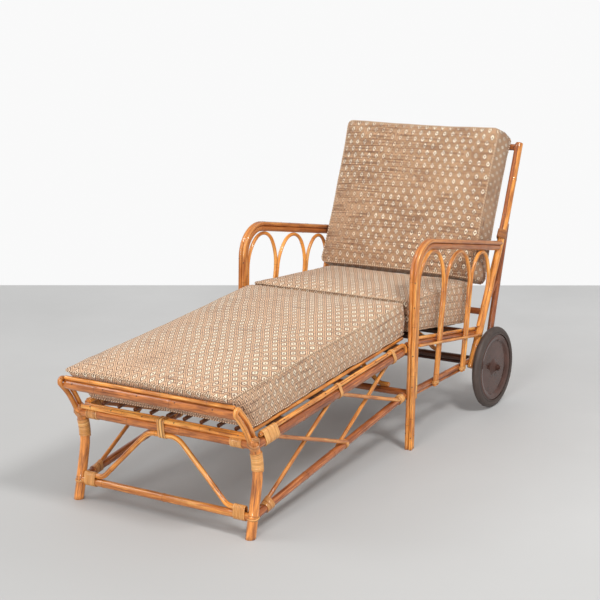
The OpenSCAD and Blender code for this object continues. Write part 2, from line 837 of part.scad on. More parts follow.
module edge_canes() {
  color("goldenrod") both() rest_deck_cane(rail_x - trim_d / 2 - 15);
}

module seat_deck_canes() {
  from = deck_end + 22;
  to = 1300;
  a = beside([from, seat_z(from)], 90 + seat_fall, -seat_deck_off);
  b = beside([to, seat_z(to)], 90 + seat_fall, -seat_deck_off);
  color("saddlebrown") for (i = [-4 : 4]) side_pole(i * deck_pitch, a, b, lattice_d);
}

// Cushions: boxed, with crowned faces, sides drawn in between the corners
corner_steps = 4;
side_steps = 5;
cushion_corner_r = 18;
cushion_side_draw = 5;
// How far the sides bulge between the seams, and how late the leaning end bends over
cushion_bulge = 6;
lean_power = 1.5;
// Room left at each end of a cushion
cushion_end_ease = 3;
// Plan outline of a cushion: half width, half length, corner radius, draw of the sides
function plan(hw, hl, r, draw) = [
  for (q = [0 : 3], i = [0 : corner_steps + side_steps - 1])
    let (
      a = q * 90 + min(i, corner_steps) * 90 / corner_steps,
      sx = (q == 0 || q == 3) ? 1 : -1,
      sy = (q < 2) ? 1 : -1,
      corner = [sx * (hw - r) + r * cos(a), sy * (hl - r) + r * sin(a)],
      t = max(0, i - corner_steps) / side_steps,
      along = (q % 2 == 0) ? [-sx * 2 * (hw - r) * t, -sy * draw * sin(180 * t)]
        : [-sx * draw * sin(180 * t), -sy * 2 * (hl - r) * t]
    )
    corner + along
];

// Rings of a cushion from the middle of the lower face to the middle of the upper one:
// [share of the half sizes, height as a share of the crown, height as a share of the thickness,
// share of the bulge]
rings = [
  [0.30, -1.0, 0, 0], [0.62, -0.87, 0, 0], [0.84, -0.6, 0, 0], [0.96, -0.28, 0, 0], [1, 0, 0, 0],
  [1, 0, 0.1, 0.5], [1, 0, 0.5, 1], [1, 0, 0.9, 0.5], [1, 0, 1, 0],
  [0.96, 0.28, 1, 0], [0.84, 0.6, 1, 0], [0.62, 0.87, 1, 0], [0.30, 1.0, 1, 0]
];

// Closed cushion, its lower seam at z = 0: lean moves the tops of the y- and y+ ends, and lift
// raises the top at the y+ end
module cushion(w, l, t, up, down, lean, lift) {
  hw = w / 2 - cushion_bulge;
  hl = l / 2 - cushion_bulge - cushion_end_ease;
  n = 4 * (corner_steps + side_steps);
  points = [
    for (g = rings) let (
      out = g[3] * cushion_bulge,
      ring = plan(hw * g[0] + out, hl * g[0] + out, cushion_corner_r * g[0], cushion_side_draw * g[0])
    )
    for (p = ring) let (
      rise = g[2] * t + (g[1] > 0 ? g[1] * up : g[1] * down),
      share = (p[1] + hl) / (2 * hl),
      shift = (1 - share) * lean[0] * pow(g[2], lean_power) + share * lean[1] * g[2],
      z = rise + g[2] * lift * share
    ) [p[0], p[1] + shift, z]
  ];
  m = len(rings);
  polyhedron(points, concat(
    [[for (i = [0 : n - 1]) i]],
    [
      for (k = [0 : m - 2], i = [0 : n - 1]) let (j = (i + 1) % n)
        [k * n + i, (k + 1) * n + i, (k + 1) * n + j]
    ],
    [
      for (k = [0 : m - 2], i = [0 : n - 1]) let (j = (i + 1) % n)
        [k * n + i, (k + 1) * n + j, k * n + j]
    ],
    [[for (i = [n - 1 : -1 : 0]) (m - 1) * n + i]]
  ));
}

// How far a cushion's lower face swells between its seams
cushion_sag = 2;
back_cushion_sag = 6;
// How far the tops of the slanted ends lean: [foot end, back end], and the rise at the back
rest_cushion_lean = [-92, 5];
seat_cushion_lean = [-31, 14];
rest_cushion_lift = -17;
seat_cushion_lift = 33;
// Front rail to the leg rest cushion, along the floor
rest_cushion_from = front_rail_y + 13.3;
rest_cushion_l = 846;
// The back cushion leans on the top rail of the back, a little flatter than the posts
back_cushion_tilt = post_heading + 0.5;
back_cushion_off = back_cushion_t + cross_d / 2 + 3;
back_cushion_top = beside(ahead(post_top, post_heading, 26.9), post_heading, -back_cushion_off);
back_cushion_foot = ahead(back_cushion_top, back_cushion_tilt, -back_cushion_h);

// The seat cushion lies between the leg rest cushion and the back cushion
seat_cushion_from = rest_cushion_from + rest_cushion_l * cos(rest_rise) - 4.5;
seat_cushion_to = back_cushion_foot[0] + 2.6;
seat_cushion_l = (seat_cushion_to - seat_cushion_from) / cos(seat_fall);

module leg_cushion() {
  off = rest_deck_off + lattice_d / 2 + cushion_sag + gap;
  p = beside([rest_cushion_from, rest_z(rest_cushion_from)], 90 - rest_rise, -off);
  color("tan") translate([0, p[0], p[1]]) rotate([rest_rise, 0, 0]) translate([0, rest_cushion_l / 2, 0])
    cushion(cushion_w, rest_cushion_l, rest_cushion_t, rest_crown, cushion_sag,
      rest_cushion_lean, rest_cushion_lift);
}

module seat_cushion() {
  off = seat_deck_off + lattice_d / 2 + cushion_sag + gap;
  p = beside([seat_cushion_from, seat_z(seat_cushion_from)], 90 + seat_fall, -off);
  color("tan") translate([0, p[0], p[1]]) rotate([-seat_fall, 0, 0]) translate([0, seat_cushion_l / 2, 0])
    cushion(cushion_w, seat_cushion_l, seat_cushion_t, crown, cushion_sag,
      seat_cushion_lean, seat_cushion_lift);
}

module back_cushion() {
  color("tan") translate([0, back_cushion_foot[0], back_cushion_foot[1]]) rotate([-back_cushion_tilt, 0, 0])
    translate([0, back_cushion_t, back_cushion_h / 2]) rotate([90, 0, 0])
    cushion(back_cushion_w, back_cushion_h, back_cushion_t, crown, back_cushion_sag, [0, 0], 0);
}

// Cane bindings at the joints: [middle, length] along the side rails and the low side rails
rest_rail_bindings = [[100, 70], [452, 18], [760, 20]];
low_rail_bindings = [[84, 34], [480, 18], [806, 34]];
// Middles of the bindings on the two front rails, and their length
top_binding_x = rail_x - 50.7;
foot_binding_x = rail_x - 40.7;
front_binding_l = 44;
// Straps round the middle of the top front rail, its canes and the arch
strap_count = 3;
strap_w = 9;

module rest_rail_binding(y, run) {
  translate([rail_x, y, rest_z(y)]) rotate([90 + rest_rise, 0, 0])
    binding([[0, 0, rail_d / 2], [0, rail_d / 2 + gap + trim_d / 2, trim_d / 2]], run);
}

module low_rail_binding(y, run) {
  translate([rail_x, y, low_z(y)]) rotate([90 + low_rise, 0, 0]) binding([[0, 0, low_rail_d / 2]], run);
}

// Turns round an end of the top front rail, under its canes
module top_binding() {
  difference() {
    rotate([90, 0, 90]) binding([[0, 0, rail_d / 2]], front_binding_l);
    rotate([90, 0, 90]) for (s = [-1, 1]) translate([s * top_cane_side, top_cane_up])
      cylinder(d = trim_d + 2 * gap, h = 2 * front_binding_l, center = true);
    translate([-front_binding_l, -top_cane_side, 0])
      cube([2 * front_binding_l, 2 * top_cane_side, top_cane_up]);
  }
}

module strap() {
  rotate([90, 0, 90]) binding([
    [0, 0, rail_d / 2],
    [-top_cane_side, top_cane_up, trim_d / 2],
    [top_cane_side, top_cane_up, trim_d / 2],
    [front_arch_top[0], front_arch_top[1], brace_d / 2]
  ], strap_w, outline_turn / 2);
}

module bindings() {
  color("wheat") {
    both() difference() {
      union() {
        for (b = rest_rail_bindings) rest_rail_binding(b[0], b[1]);
        for (b = low_rail_bindings) low_rail_binding(b[0], b[1]);
      }
      lattice_canes(lattice_d + 2 * gap);
    }
    // Front legs, over the bend
    both() side_bent_sleeve();
    // Top front rail, near its ends and at the middle
    translate([0, front_rail_y, front_rail_z]) {
      for (x = [-1, 1]) translate([x * top_binding_x, 0, 0]) top_binding();
      for (i = [0 : strap_count - 1])
        translate([(i - (strap_count - 1) / 2) * (strap_w + gap), 0, 0]) strap();
    }
    // Lower front rail, over the feet of the arch
    for (x = [-1, 1]) translate([x * foot_binding_x, low_front_y, low_front_z]) rotate([90, 0, 90])
      binding([[0, 0, low_rail_d / 2], [0, low_rail_d / 2 + gap + brace_d / 2, brace_d / 2]],
        front_binding_l);
  }
}

// Sleeve wound over the bend of a front leg
module side_bent_sleeve() {
  start = path_end([0, 0], foot_lean, [[foot_run, leg_bend_r, -leg_turn * 0.3]]);
  steps = [[0, leg_bend_r, -leg_turn * 0.42]];
  difference() {
    side_bent(rail_x, start[0], start[1], steps, leg_d + 2 * gap + 2 * wrap_t);
    side_bent(rail_x, start[0], start[1], steps, leg_d + 2 * gap);
  }
}

placed() left() front_leg();  // front_leg_left
placed() front_leg();  // front_leg_right
placed() left() front_horn();  // front_horn_left
placed() front_horn();  // front_horn_right
placed() bumper_rail();
placed() bumper_cane();
placed() top_front_rail();
placed() top_front_canes();
placed() lower_front_rail();
placed() front_arch();
placed() left() side_rail();  // side_rail_left
placed() side_rail();  // side_rail_right
placed() left() side_rail_cane();  // side_rail_cane_left
placed() side_rail_cane();  // side_rail_cane_right
placed() left() low_side_rail();  // low_side_rail_left
placed() low_side_rail();  // low_side_rail_right
placed() left() side_lattice();  // side_lattice_left
placed() side_lattice();  // side_lattice_right
placed() left() arm_pole();  // arm_pole_left
placed() arm_pole();  // arm_pole_right
placed() left() arm_canes();  // arm_canes_left
placed() arm_canes();  // arm_canes_right
placed() left() arm_arches();  // arm_arches_left
placed() arm_arches();  // arm_arches_right
placed() left() seat_rail();  // seat_rail_left
placed() seat_rail();  // seat_rail_right
placed() left() seat_canes();  // seat_canes_left
placed() seat_canes();  // seat_canes_right
placed() left() arm_low_rail();  // arm_low_rail_left
placed() arm_low_rail();  // arm_low_rail_right
placed() seat_cross_rail();
placed() low_cross_rail();
placed() middle_arch();
placed() left() back_post();  // back_post_left
placed() back_post();  // back_post_right
placed() both() post_cane();  // back_post_canes
placed() back_top_rail();
placed() back_low_rail();
placed() back_canes();
placed() rear_cross_rail();
placed() left() rear_leg();  // rear_leg_left
placed() rear_leg();  // rear_leg_right
placed() both() rear_strut();  // rear_struts
placed() rear_arch();
placed() axle_beam();
placed() axle_rod();
placed() axle_nuts();
placed() left() wheel_disc();  // wheel_left
placed() wheel_disc();  // wheel_right
placed() left() tyre();  // tyre_left
placed() tyre();  // tyre_right
placed() deck_slats();
placed() deck_canes();
placed() edge_canes();
placed() seat_deck_canes();
placed() leg_cushion();
placed() seat_cushion();
placed() back_cushion();
placed() bindings();
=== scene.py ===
import math
import random
import bmesh
import bpy
from mathutils import Matrix, Vector, noise
from mathutils.bvhtree import BVHTree
from mathutils.kdtree import KDTree


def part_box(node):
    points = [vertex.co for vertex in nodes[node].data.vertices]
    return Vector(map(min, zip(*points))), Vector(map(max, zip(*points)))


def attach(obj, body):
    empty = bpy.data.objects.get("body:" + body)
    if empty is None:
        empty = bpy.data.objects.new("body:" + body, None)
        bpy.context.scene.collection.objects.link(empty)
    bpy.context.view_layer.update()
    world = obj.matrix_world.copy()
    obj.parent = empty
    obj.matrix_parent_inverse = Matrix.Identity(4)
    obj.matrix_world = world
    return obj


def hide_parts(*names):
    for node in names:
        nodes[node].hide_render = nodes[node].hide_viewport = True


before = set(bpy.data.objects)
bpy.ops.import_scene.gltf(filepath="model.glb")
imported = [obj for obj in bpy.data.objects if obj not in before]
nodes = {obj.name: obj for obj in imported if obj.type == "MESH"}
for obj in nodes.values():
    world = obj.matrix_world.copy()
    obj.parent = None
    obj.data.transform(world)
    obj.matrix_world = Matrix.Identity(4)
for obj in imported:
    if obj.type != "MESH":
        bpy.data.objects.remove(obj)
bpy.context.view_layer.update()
scene = bpy.context.scene
scene.view_settings.view_transform = "Standard"
noise.seed_set(5)  # otherwise the clock seeds it, and each run differs

# Room: a pale smooth floor that ends in front of a white wall, and a camera standing at
# the foot end, to the right of the chair, a little above its back.
camera_place = Vector((2.5425, -3.89036, 1.5885))
heading, tilt, roll = math.radians(33.60), math.radians(13.742), math.radians(-1.489)
ahead = Vector((-math.sin(heading) * math.cos(tilt), math.cos(heading) * math.cos(tilt), -math.sin(tilt)))
level = Vector((math.cos(heading), math.sin(heading), 0))
above = level.cross(ahead)
across = level * math.cos(roll) + above * math.sin(roll)
upward = -level * math.sin(roll) + above * math.cos(roll)
lens = bpy.data.cameras.new("camera")
lens.sensor_width = 36
lens.lens = 91.824
lens.clip_end = 60
camera = bpy.data.objects.new("camera", lens)
scene.collection.objects.link(camera)
turned = Matrix((across, upward, -ahead)).transposed().to_4x4()
camera.matrix_world = Matrix.Translation(camera_place) @ turned
scene.camera = camera


def new_material(name):
    """An empty finish: the material, its node tree and its main shader."""
    material = bpy.data.materials.new(name)
    material.use_nodes = True
    tree = material.node_tree
    shader = tree.nodes["Principled BSDF"]
    return material, tree, shader


def add(tree, kind, inputs=None, **settings):
    """Adds a node; inputs are values or sockets to join, by name or number."""
    node = tree.nodes.new(kind)
    for key, value in settings.items():
        setattr(node, key, value)
    for key, value in (inputs or {}).items():
        if isinstance(value, bpy.types.NodeSocket):
            tree.links.new(value, node.inputs[key])
        else:
            node.inputs[key].default_value = value
    return node


def ramp(tree, factor, stops, mode="LINEAR"):
    """Colours along a factor, from (position, colour) stops."""
    node = tree.nodes.new("ShaderNodeValToRGB")
    node.color_ramp.interpolation = mode
    band = node.color_ramp.elements
    band.remove(band[1])
    band[0].position = stops[0][0]
    band[0].color = (*stops[0][1], 1)
    for place, colour in stops[1:]:
        band.new(place).color = (*colour, 1)
    tree.links.new(factor, node.inputs["Fac"])
    return node.outputs["Color"]


def math_of(tree, operation, a, b=0.0, c=0.0, clamp=False):
    """One sum on up to three values or sockets."""
    node = add(tree, "ShaderNodeMath", {0: a, 1: b, 2: c}, operation=operation)
    node.use_clamp = clamp
    return node.outputs[0]


def mix(tree, factor, a, b, blend="MIX"):
    """Two colours blended by a factor."""
    node = tree.nodes.new("ShaderNodeMix")
    node.data_type = "RGBA"
    node.blend_type = blend
    for socket, value in ((node.inputs["Factor"], factor), (node.inputs[6], a), (node.inputs[7], b)):
        if isinstance(value, bpy.types.NodeSocket):
            tree.links.new(value, socket)
        else:
            socket.default_value = value if isinstance(value, float) else (*value, 1)
    return node.outputs[2]


concrete, tree, shader = new_material("pale floor")
place = add(tree, "ShaderNodeTexCoord").outputs["Object"]
clouds = add(tree, "ShaderNodeTexNoise", {"Vector": place, "Scale": 1.3, "Detail": 6.0, "Roughness": 0.6})
grit = add(tree, "ShaderNodeTexNoise", {"Vector": place, "Scale": 60.0, "Detail": 3.0})
pale = ramp(tree, clouds.outputs["Fac"], [(0.3, (0.69, 0.69, 0.685)), (0.7, (0.77, 0.77, 0.765))])
# Darker towards the front and paler towards the back: painted shade and painted light that even out the
# lamps' falloff across the floor.
floor_y = add(tree, "ShaderNodeSeparateXYZ", {0: place}).outputs["Y"]
painted_falloff = math_of(tree, "MULTIPLY_ADD", floor_y, -0.33, 0.62, clamp=True)
pale = mix(tree, painted_falloff, pale, (0.485, 0.483, 0.475))
tree.links.new(pale, shader.inputs["Base Color"])
shader.inputs["Roughness"].default_value = 0.62
bump = add(tree, "ShaderNodeBump", {"Height": grit.outputs["Fac"], "Strength": 0.05, "Distance": 0.002})
tree.links.new(bump.outputs["Normal"], shader.inputs["Normal"])

form = bmesh.new()
bmesh.ops.create_grid(form, x_segments=8, y_segments=8, size=1)
bmesh.ops.scale(form, vec=(7, 6, 1), verts=form.verts)
bmesh.ops.translate(form, vec=(0, 0.735, 0), verts=form.verts)
bmesh.ops.rotate(form, matrix=Matrix.Rotation(math.radians(27), 4, "Z"), verts=form.verts)
bmesh.ops.translate(form, vec=(camera_place.x, camera_place.y, -0.0005), verts=form.verts)
mesh = bpy.data.meshes.new("floor")
form.to_mesh(mesh)
form.free()
mesh.materials.append(concrete)
floor = bpy.data.objects.new("floor", mesh)
scene.collection.objects.link(floor)


def lamp(name, place, aim, size, power):
    """A round soft lamp at a place, turned to a point."""
    light = bpy.data.lights.new(name, "AREA")
    light.shape = "DISK"
    light.size = size
    light.energy = power
    holder = bpy.data.objects.new(name, light)
    scene.collection.objects.link(holder)
    look = (Vector(aim) - Vector(place)).to_track_quat("-Z", "Y")
    holder.matrix_world = Matrix.Translation(place) @ look.to_matrix().to_4x4()


lamp("key lamp", (2.4, -0.9, 3.3), (0, 0, 0.3), 0.9, 76)
lamp("front lamp", (1.0, -4.6, 1.7), (0, 0, 0.3), 1.7, 80)
lamp("left lamp", (-2.6, -1.6, 2.4), (0, 0, 0.3), 1.8, 30)
world = bpy.data.worlds.new("studio")
world.use_nodes = True
scene.world = world
tree = world.node_tree
back = tree.nodes["Background"]
paths = add(tree, "ShaderNodeLightPath")
seen = math_of(tree, "MAXIMUM", paths.outputs["Is Camera Ray"], paths.outputs["Is Transmission Ray"])
strength = math_of(tree, "MULTIPLY_ADD", seen, 0.36, 0.59)
back.inputs["Color"].default_value = (1, 1, 1, 1)
tree.links.new(strength, back.inputs["Strength"])


# Bent poles: rattan, steamed and bent, with the rings of its nodes left on and varnished.
# Each is laid along corner points, and a fourth number is the radius of the bend there.
def walk(points, step):
    """Stations [(place, direction, distance)] along straight runs and round the bends."""
    corners = [Vector(p[:3]) for p in points]
    found = [(corners[0], (corners[1] - corners[0]).normalized(), 0.0)]
    for i in range(1, len(corners)):
        before = (corners[i] - corners[i - 1]).normalized()
        stop = corners[i]
        bend = points[i][3] if len(points[i]) > 3 else 0
        if bend:
            after = (corners[i + 1] - corners[i]).normalized()
            turn = before.angle(after)
            stop = corners[i] - before * bend * math.tan(turn / 2)
        start, _, gone = found[-1]
        run = (stop - start).dot(before)
        pieces = max(1, round(run / step))
        if run > 1e-4:
            for k in range(1, pieces + 1):
                found.append((start + before * run * k / pieces, before, gone + run * k / pieces))
        if bend:
            start, _, gone = found[-1]
            inward = (after - before * after.dot(before)).normalized()
            middle = stop + inward * bend
            pieces = max(3, round(turn / math.radians(7)))
            for k in range(1, pieces + 1):
                angle = turn * k / pieces
                found.append((middle - inward * bend * math.cos(angle) + before * bend * math.sin(angle),
                              before * math.cos(angle) + inward * math.sin(angle), gone + bend * angle))
    return found


def along(stations, distance):
    """Place and direction at one distance on a walked line."""
    for (a, u, s), (b, v, t) in zip(stations, stations[1:]):
        if distance <= t:
            share = (distance - s) / max(t - s, 1e-9)
            return a.lerp(b, share), u.lerp(v, share).normalized()
    return stations[-1][0], stations[-1][1]


# Share of the radius that a node stands out by, and how dark its scar is, at each distance from it
node_form = [(-0.007, 0.0, 0.0), (-0.0035, 0.035, 0.0), (-0.0012, 0.065, 0.15), (0, -0.01, 1.0),
             (0.0012, 0.07, 0.3), (0.004, 0.03, 0.0), (0.008, 0.0, 0.0)]


def lay_pole(piece, points, radius, chance, tone=(0.5, 0.5), sides=16, step=0.02, spacing=(0.13, 0.27)):
    """Adds one pole to a bmesh, with its nodes; tone runs from its first end to its last."""
    line = walk(points, step)
    length = line[-1][2]
    scars = []
    at = chance.uniform(0.03, 0.12)
    while at < length - 0.03:
        scars.append(at)
        at += chance.uniform(*spacing)
    rings = [(0.0, 0.84, 0.0), (0.0009, 0.95, 0.0), (0.0026, 1.0, 0.0)]
    rings += [(s, 1.0, 0.0) for _, _, s in line[1:-1] if 0.006 < s < length - 0.006
              and all(abs(s - scar) > 0.0095 for scar in scars)]
    rings += [(scar + off, 1 + swell, dark) for scar in scars for off, swell, dark in node_form]
    rings += [(length - 0.0026, 1.0, 0.0), (length - 0.0009, 0.95, 0.0), (length, 0.84, 0.0)]
    rings.sort()
    form = bmesh.new()
    grain = form.verts.layers.float_vector.new("grain")
    finish = form.verts.layers.float_vector.new("finish")
    circle = bmesh.ops.create_circle(form, cap_ends=True, segments=sides, radius=1)["verts"]
    flat = [v.co.copy() for v in circle]
    edges = list({e for v in circle for e in v.link_edges})
    forward = line[0][1]
    side = forward.orthogonal().normalized()
    shift = chance.uniform(0, 50)
    body = chance.uniform(0.35, 0.65)
    verts = circle
    previous = forward
    for i, (distance, swell, dark) in enumerate(rings):
        place, forward = along(line, distance)
        side = (previous.rotation_difference(forward) @ side)
        side = (side - forward * side.dot(forward)).normalized()
        previous = forward
        other = forward.cross(side)
        sway = noise.noise_vector(Vector((distance * 9 + shift, shift, 0))) * min(0.0006, radius * 0.05)
        sway -= forward * sway.dot(forward)
        full = radius * swell * (1 + 0.018 * noise.noise(Vector((distance * 14 + shift, 3, 0))))
        if i:
            made = bmesh.ops.extrude_edge_only(form, edges=edges)["geom"]
            verts = [g for g in made if isinstance(g, bmesh.types.BMVert)]
            edges = [g for g in made if isinstance(g, bmesh.types.BMEdge)
                     and all(v in verts for v in g.verts)]
        share = distance / length
        wanted = Matrix((side * full, other * full, forward)).transposed().to_4x4()
        wanted.translation = place + sway
        for v, spot in zip(verts, flat):
            v.co = wanted @ Vector((spot.x, spot.y, 0))
            v[grain] = (spot.x * radius + shift, spot.y * radius, distance + shift * 3)
            v[finish] = (dark, tone[0] + (tone[1] - tone[0]) * share, body)
    bmesh.ops.edgeloop_fill(form, edges=edges)
    bmesh.ops.recalc_face_normals(form, faces=form.faces)
    for face in form.faces:
        face.smooth = len(face.verts) == 4
    mesh = bpy.data.meshes.new("run")
    form.to_mesh(mesh)
    form.free()
    piece.from_mesh(mesh)
    bpy.data.meshes.remove(mesh)


def place_piece(name, form, material, slot, body, *replaced):
    """Makes a finished form an object with its finish, body and the solids it stands for."""
    mesh = bpy.data.meshes.new(name)
    form.to_mesh(mesh)
    form.free()
    mesh.materials.append(material)
    piece = bpy.data.objects.new(name, mesh)
    scene.collection.objects.link(piece)
    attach(piece, body)
    if replaced:
        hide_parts(*replaced)
    return piece


def rattan(name, light, middle, dark, tone_colour, gloss):
    """Varnished rattan: fibres along the pole, mottled varnish, dark scars at the nodes, and painted shade at
    the edges of wound strips.
    """
    material, tree, shader = new_material(name)
    grain = add(tree, "ShaderNodeAttribute", attribute_name="grain").outputs["Vector"]
    finish = add(tree, "ShaderNodeAttribute", attribute_name="finish").outputs["Vector"]
    parts = add(tree, "ShaderNodeSeparateXYZ", {0: finish}).outputs
    fine = add(tree, "ShaderNodeVectorMath", {0: grain, 1: (340, 340, 7)}, operation="MULTIPLY")
    fibre = add(tree, "ShaderNodeTexNoise", {"Vector": fine.outputs[0], "Scale": 1.0, "Detail": 4.0,
                                             "Roughness": 0.65}).outputs["Fac"]
    wide = add(tree, "ShaderNodeVectorMath", {0: grain, 1: (85, 85, 16)}, operation="MULTIPLY")
    patch = add(tree, "ShaderNodeTexNoise", {"Vector": wide.outputs[0], "Scale": 1.0, "Detail": 3.0,
                                             "Roughness": 0.55}).outputs["Fac"]
    spot = add(tree, "ShaderNodeTexNoise", {"Vector": grain, "Scale": 260.0, "Detail": 2.0}).outputs["Fac"]
    base = ramp(tree, fibre, [(0.46, middle), (0.54, middle), (0.64, light)])
    base = mix(tree, math_of(tree, "MULTIPLY", parts["Y"], 0.9, clamp=True), base, tone_colour)
    shade = math_of(tree, "MULTIPLY_ADD", parts["Z"], 0.5, math_of(tree, "SUBTRACT", patch, 0.25))
    stain = math_of(tree, "MULTIPLY_ADD", shade, 4.2, -1.55, clamp=True)
    base = mix(tree, math_of(tree, "MULTIPLY", stain, 0.65), base, dark)
    streak = ramp(tree, fibre, [(0.35, (0.38, 0.26, 0.18)), (0.45, (1.0, 1.0, 1.0))])
    base = mix(tree, 1.0, base, streak, "MULTIPLY")
    fleck = math_of(tree, "MULTIPLY_ADD", spot, 9.0, -6.0, clamp=True)
    base = mix(tree, math_of(tree, "MULTIPLY", fleck, 0.55), base, tuple(c * 0.4 for c in dark))
    # Dark at the node scars of the poles; on wound strips the same channel darkens each turn's edges, painted
    # shade in the gaps between turns.
    scar = math_of(tree, "MULTIPLY", math_of(tree, "POWER", parts["X"], 2.5), 0.8)
    base = mix(tree, scar, base, tuple(c * 0.3 for c in dark))
    tree.links.new(base, shader.inputs["Base Color"])
    rough = math_of(tree, "MULTIPLY_ADD", patch, 0.3, gloss)
    tree.links.new(rough, shader.inputs["Roughness"])
    shader.inputs["Specular IOR Level"].default_value = 0.25
    shader.inputs["Coat Weight"].default_value = 0.85
    shader.inputs["Coat Roughness"].default_value = 0.07
    height = math_of(tree, "MULTIPLY_ADD", patch, 0.6, fibre)
    bump = add(tree, "ShaderNodeBump", {"Height": height, "Strength": 0.35, "Distance": 0.0006})
    tree.links.new(bump.outputs["Normal"], shader.inputs["Normal"])
    return material


amber_cane = rattan("amber_cane", (1.0, 0.62, 0.19), (0.95, 0.37, 0.065), (0.34, 0.08, 0.014),
                    (0.50, 0.18, 0.055), 0.19)
brown_pole = rattan("brown_pole", (0.66, 0.24, 0.07), (0.44, 0.13, 0.035), (0.17, 0.04, 0.012),
                    (1.0, 0.37, 0.075), 0.16)
# The dark pole finish is the axle beam's colour, and on the deck canes under the cushions it is painted
# shade.
dark_and_shaded_pole = rattan("dark_and_shaded_pole", (0.24, 0.085, 0.032), (0.135, 0.042, 0.017), (0.05, 0.018, 0.009),
                   (0.30, 0.12, 0.05), 0.3)


def mirrored(points):
    """The same line on the other side of the chair."""
    return [(-p[0], *p[1:]) for p in points]


def cut_at_floor(form):
    """Saws the feet off level with the floor."""
    sliced = bmesh.ops.bisect_plane(form, geom=form.verts[:] + form.edges[:] + form.faces[:],
                                    plane_co=(0, 0, 0), plane_no=(0, 0, -1), clear_outer=True)
    rim = [g for g in sliced["geom_cut"] if isinstance(g, bmesh.types.BMEdge)]
    for face in bmesh.ops.holes_fill(form, edges=rim)["faces"]:
        face.smooth = False


def poles(name, runs, material, slot, *replaced, seed=1, tone=(0.0, 0.0), sides=16, standing=False,
          step=0.02, spacing=(0.13, 0.27)):
    """One piece of one or more poles: runs is a list of (points, radius)."""
    chance = random.Random(seed)
    form = bmesh.new()
    form.verts.layers.float_vector.new("grain")
    form.verts.layers.float_vector.new("finish")
    for points, radius in runs:
        lay_pole(form, points, radius, chance, tone, sides, step, spacing)
    if standing:
        cut_at_floor(form)
    return place_piece(name, form, material, slot, "frame", *replaced)


def both_sides(name, runs, material, slot, replaced, seed, **how):
    """A right piece and its mirror image on the left, each with its own grain."""
    for side, turn in (("right", list), ("left", mirrored)):
        poles(f"{name}_{side}", [(turn(points), radius) for points, radius in runs], material, slot,
              f"{replaced}_{side}", seed=seed + (side == "left"), **how)


def middle(node, axis):
    """Middle of a solid along one axis, as the frame has it."""
    low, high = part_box(node)
    return (low[axis] + high[axis]) / 2


leg_x = middle("side_rail_right", 0)
leg_r, leg_bend_r = 0.0145, 0.19
both_sides("front_leg_pole", [([(leg_x, -0.7899, -0.0097), (leg_x, -0.7322, 0.2057, leg_bend_r),
                                (leg_x, -0.768, 0.276)], leg_r)],
           brown_pole, "brown_pole", "front_leg", 11, tone=(1.0, 0.8), standing=True)

# Horns: a hairpin of cane on each leg top, with a thick bumper rail and a thin cane between
# them, to keep the foot cushion from sliding off.
brace_r, bumper_r, cane_r = 0.0075, 0.014, 0.006


def crosswise(node, reach, radius, shift=0.0):
    """A straight pole across the chair where its solid lies, or shifted from it, as (points, radius)."""
    y, z = middle(node, 1) + shift, middle(node, 2)
    return [(-reach, y, z), (reach, y, z)], radius


both_sides("horn_cane", [([(leg_x, -0.7766, 0.272), (leg_x, -0.7997, 0.3174, 0.2115),
                           (leg_x, -0.8392, 0.3628, 0.0095), (leg_x, -0.8249, 0.3753, 0.0095),
                           (leg_x, -0.7839, 0.3281, 0.2305), (leg_x, -0.7597, 0.2806)], brace_r)],
           amber_cane, "amber_cane", "front_horn", 21)
poles("bumper_pole", [crosswise("bumper_rail", 0.2949, bumper_r)],
      brown_pole, "brown_pole", "bumper_rail", seed=23, tone=(0.35, 0.35))
poles("bumper_top_cane", [crosswise("bumper_cane", 0.2929, cane_r)],
      amber_cane, "amber_cane", "bumper_cane", seed=24)

# Front of the leg rest: a rail between the leg tops with two canes on it, a low rail, and
# a flat-topped arch of cane between them.
rail_r, low_r, nested_r = 0.0135, 0.0115, 0.007
front_reach = leg_x - 0.0045
pair_apart = 0.00715
front_shift = -0.0007  # the front pole and its pair lie this far before the middle of their solids


def flat_arch(top, knee, foot_x):
    """One cane bent to an arch across the chair, from its right half: top, knee and foot."""
    half = [top, knee, (foot_x, *knee[1:3])]
    return mirrored(half)[::-1] + half


poles("top_front_pole", [crosswise("top_front_rail", front_reach, rail_r, front_shift)],
      brown_pole, "brown_pole", "top_front_rail", seed=31, tone=(0.3, 0.3))
poles("top_front_pair", [crosswise("top_front_canes", 0.2876, nested_r, front_shift - pair_apart),
                         crosswise("top_front_canes", 0.2876, nested_r, front_shift + pair_apart)],
      amber_cane, "amber_cane", "top_front_canes", seed=32, spacing=(0.1, 0.16))
poles("lower_front_pole", [crosswise("lower_front_rail", front_reach, low_r)],
      amber_cane, "brown_pole", "lower_front_rail", seed=33, tone=(0.3, 0.3))
front_arch_line = flat_arch((0.0522, -0.7623, 0.2347, 0.06), (0.2187, -0.7725, 0.0743, 0.04), 0.2548)
poles("front_arch_cane", [(front_arch_line, brace_r)], amber_cane, "amber_cane", "front_arch", seed=34)

# Sides of the leg rest: a glossy top rail with a bright cane hooked over its rear end, a low
# rail, and four crossing canes let in between.
rest_tilt, low_tilt = math.radians(4.4), math.radians(8.071)
touch = 0.0003
nested_lift = rail_r + nested_r + touch


def rest_line(y):
    """Height of the leg rest's top rails."""
    return 0.252 + (y + 0.7473) * math.tan(rest_tilt)


def low_line(y):
    """Height of the leg rest's low rails."""
    return 0.055 + (y + 0.7725) * math.tan(low_tilt)


def sloped(x, line, ends, lift=0.0):
    """The ends of a straight pole at x that follows a sloping line, lifted above it."""
    return [(x, y, line(y) + lift) for y in ends]


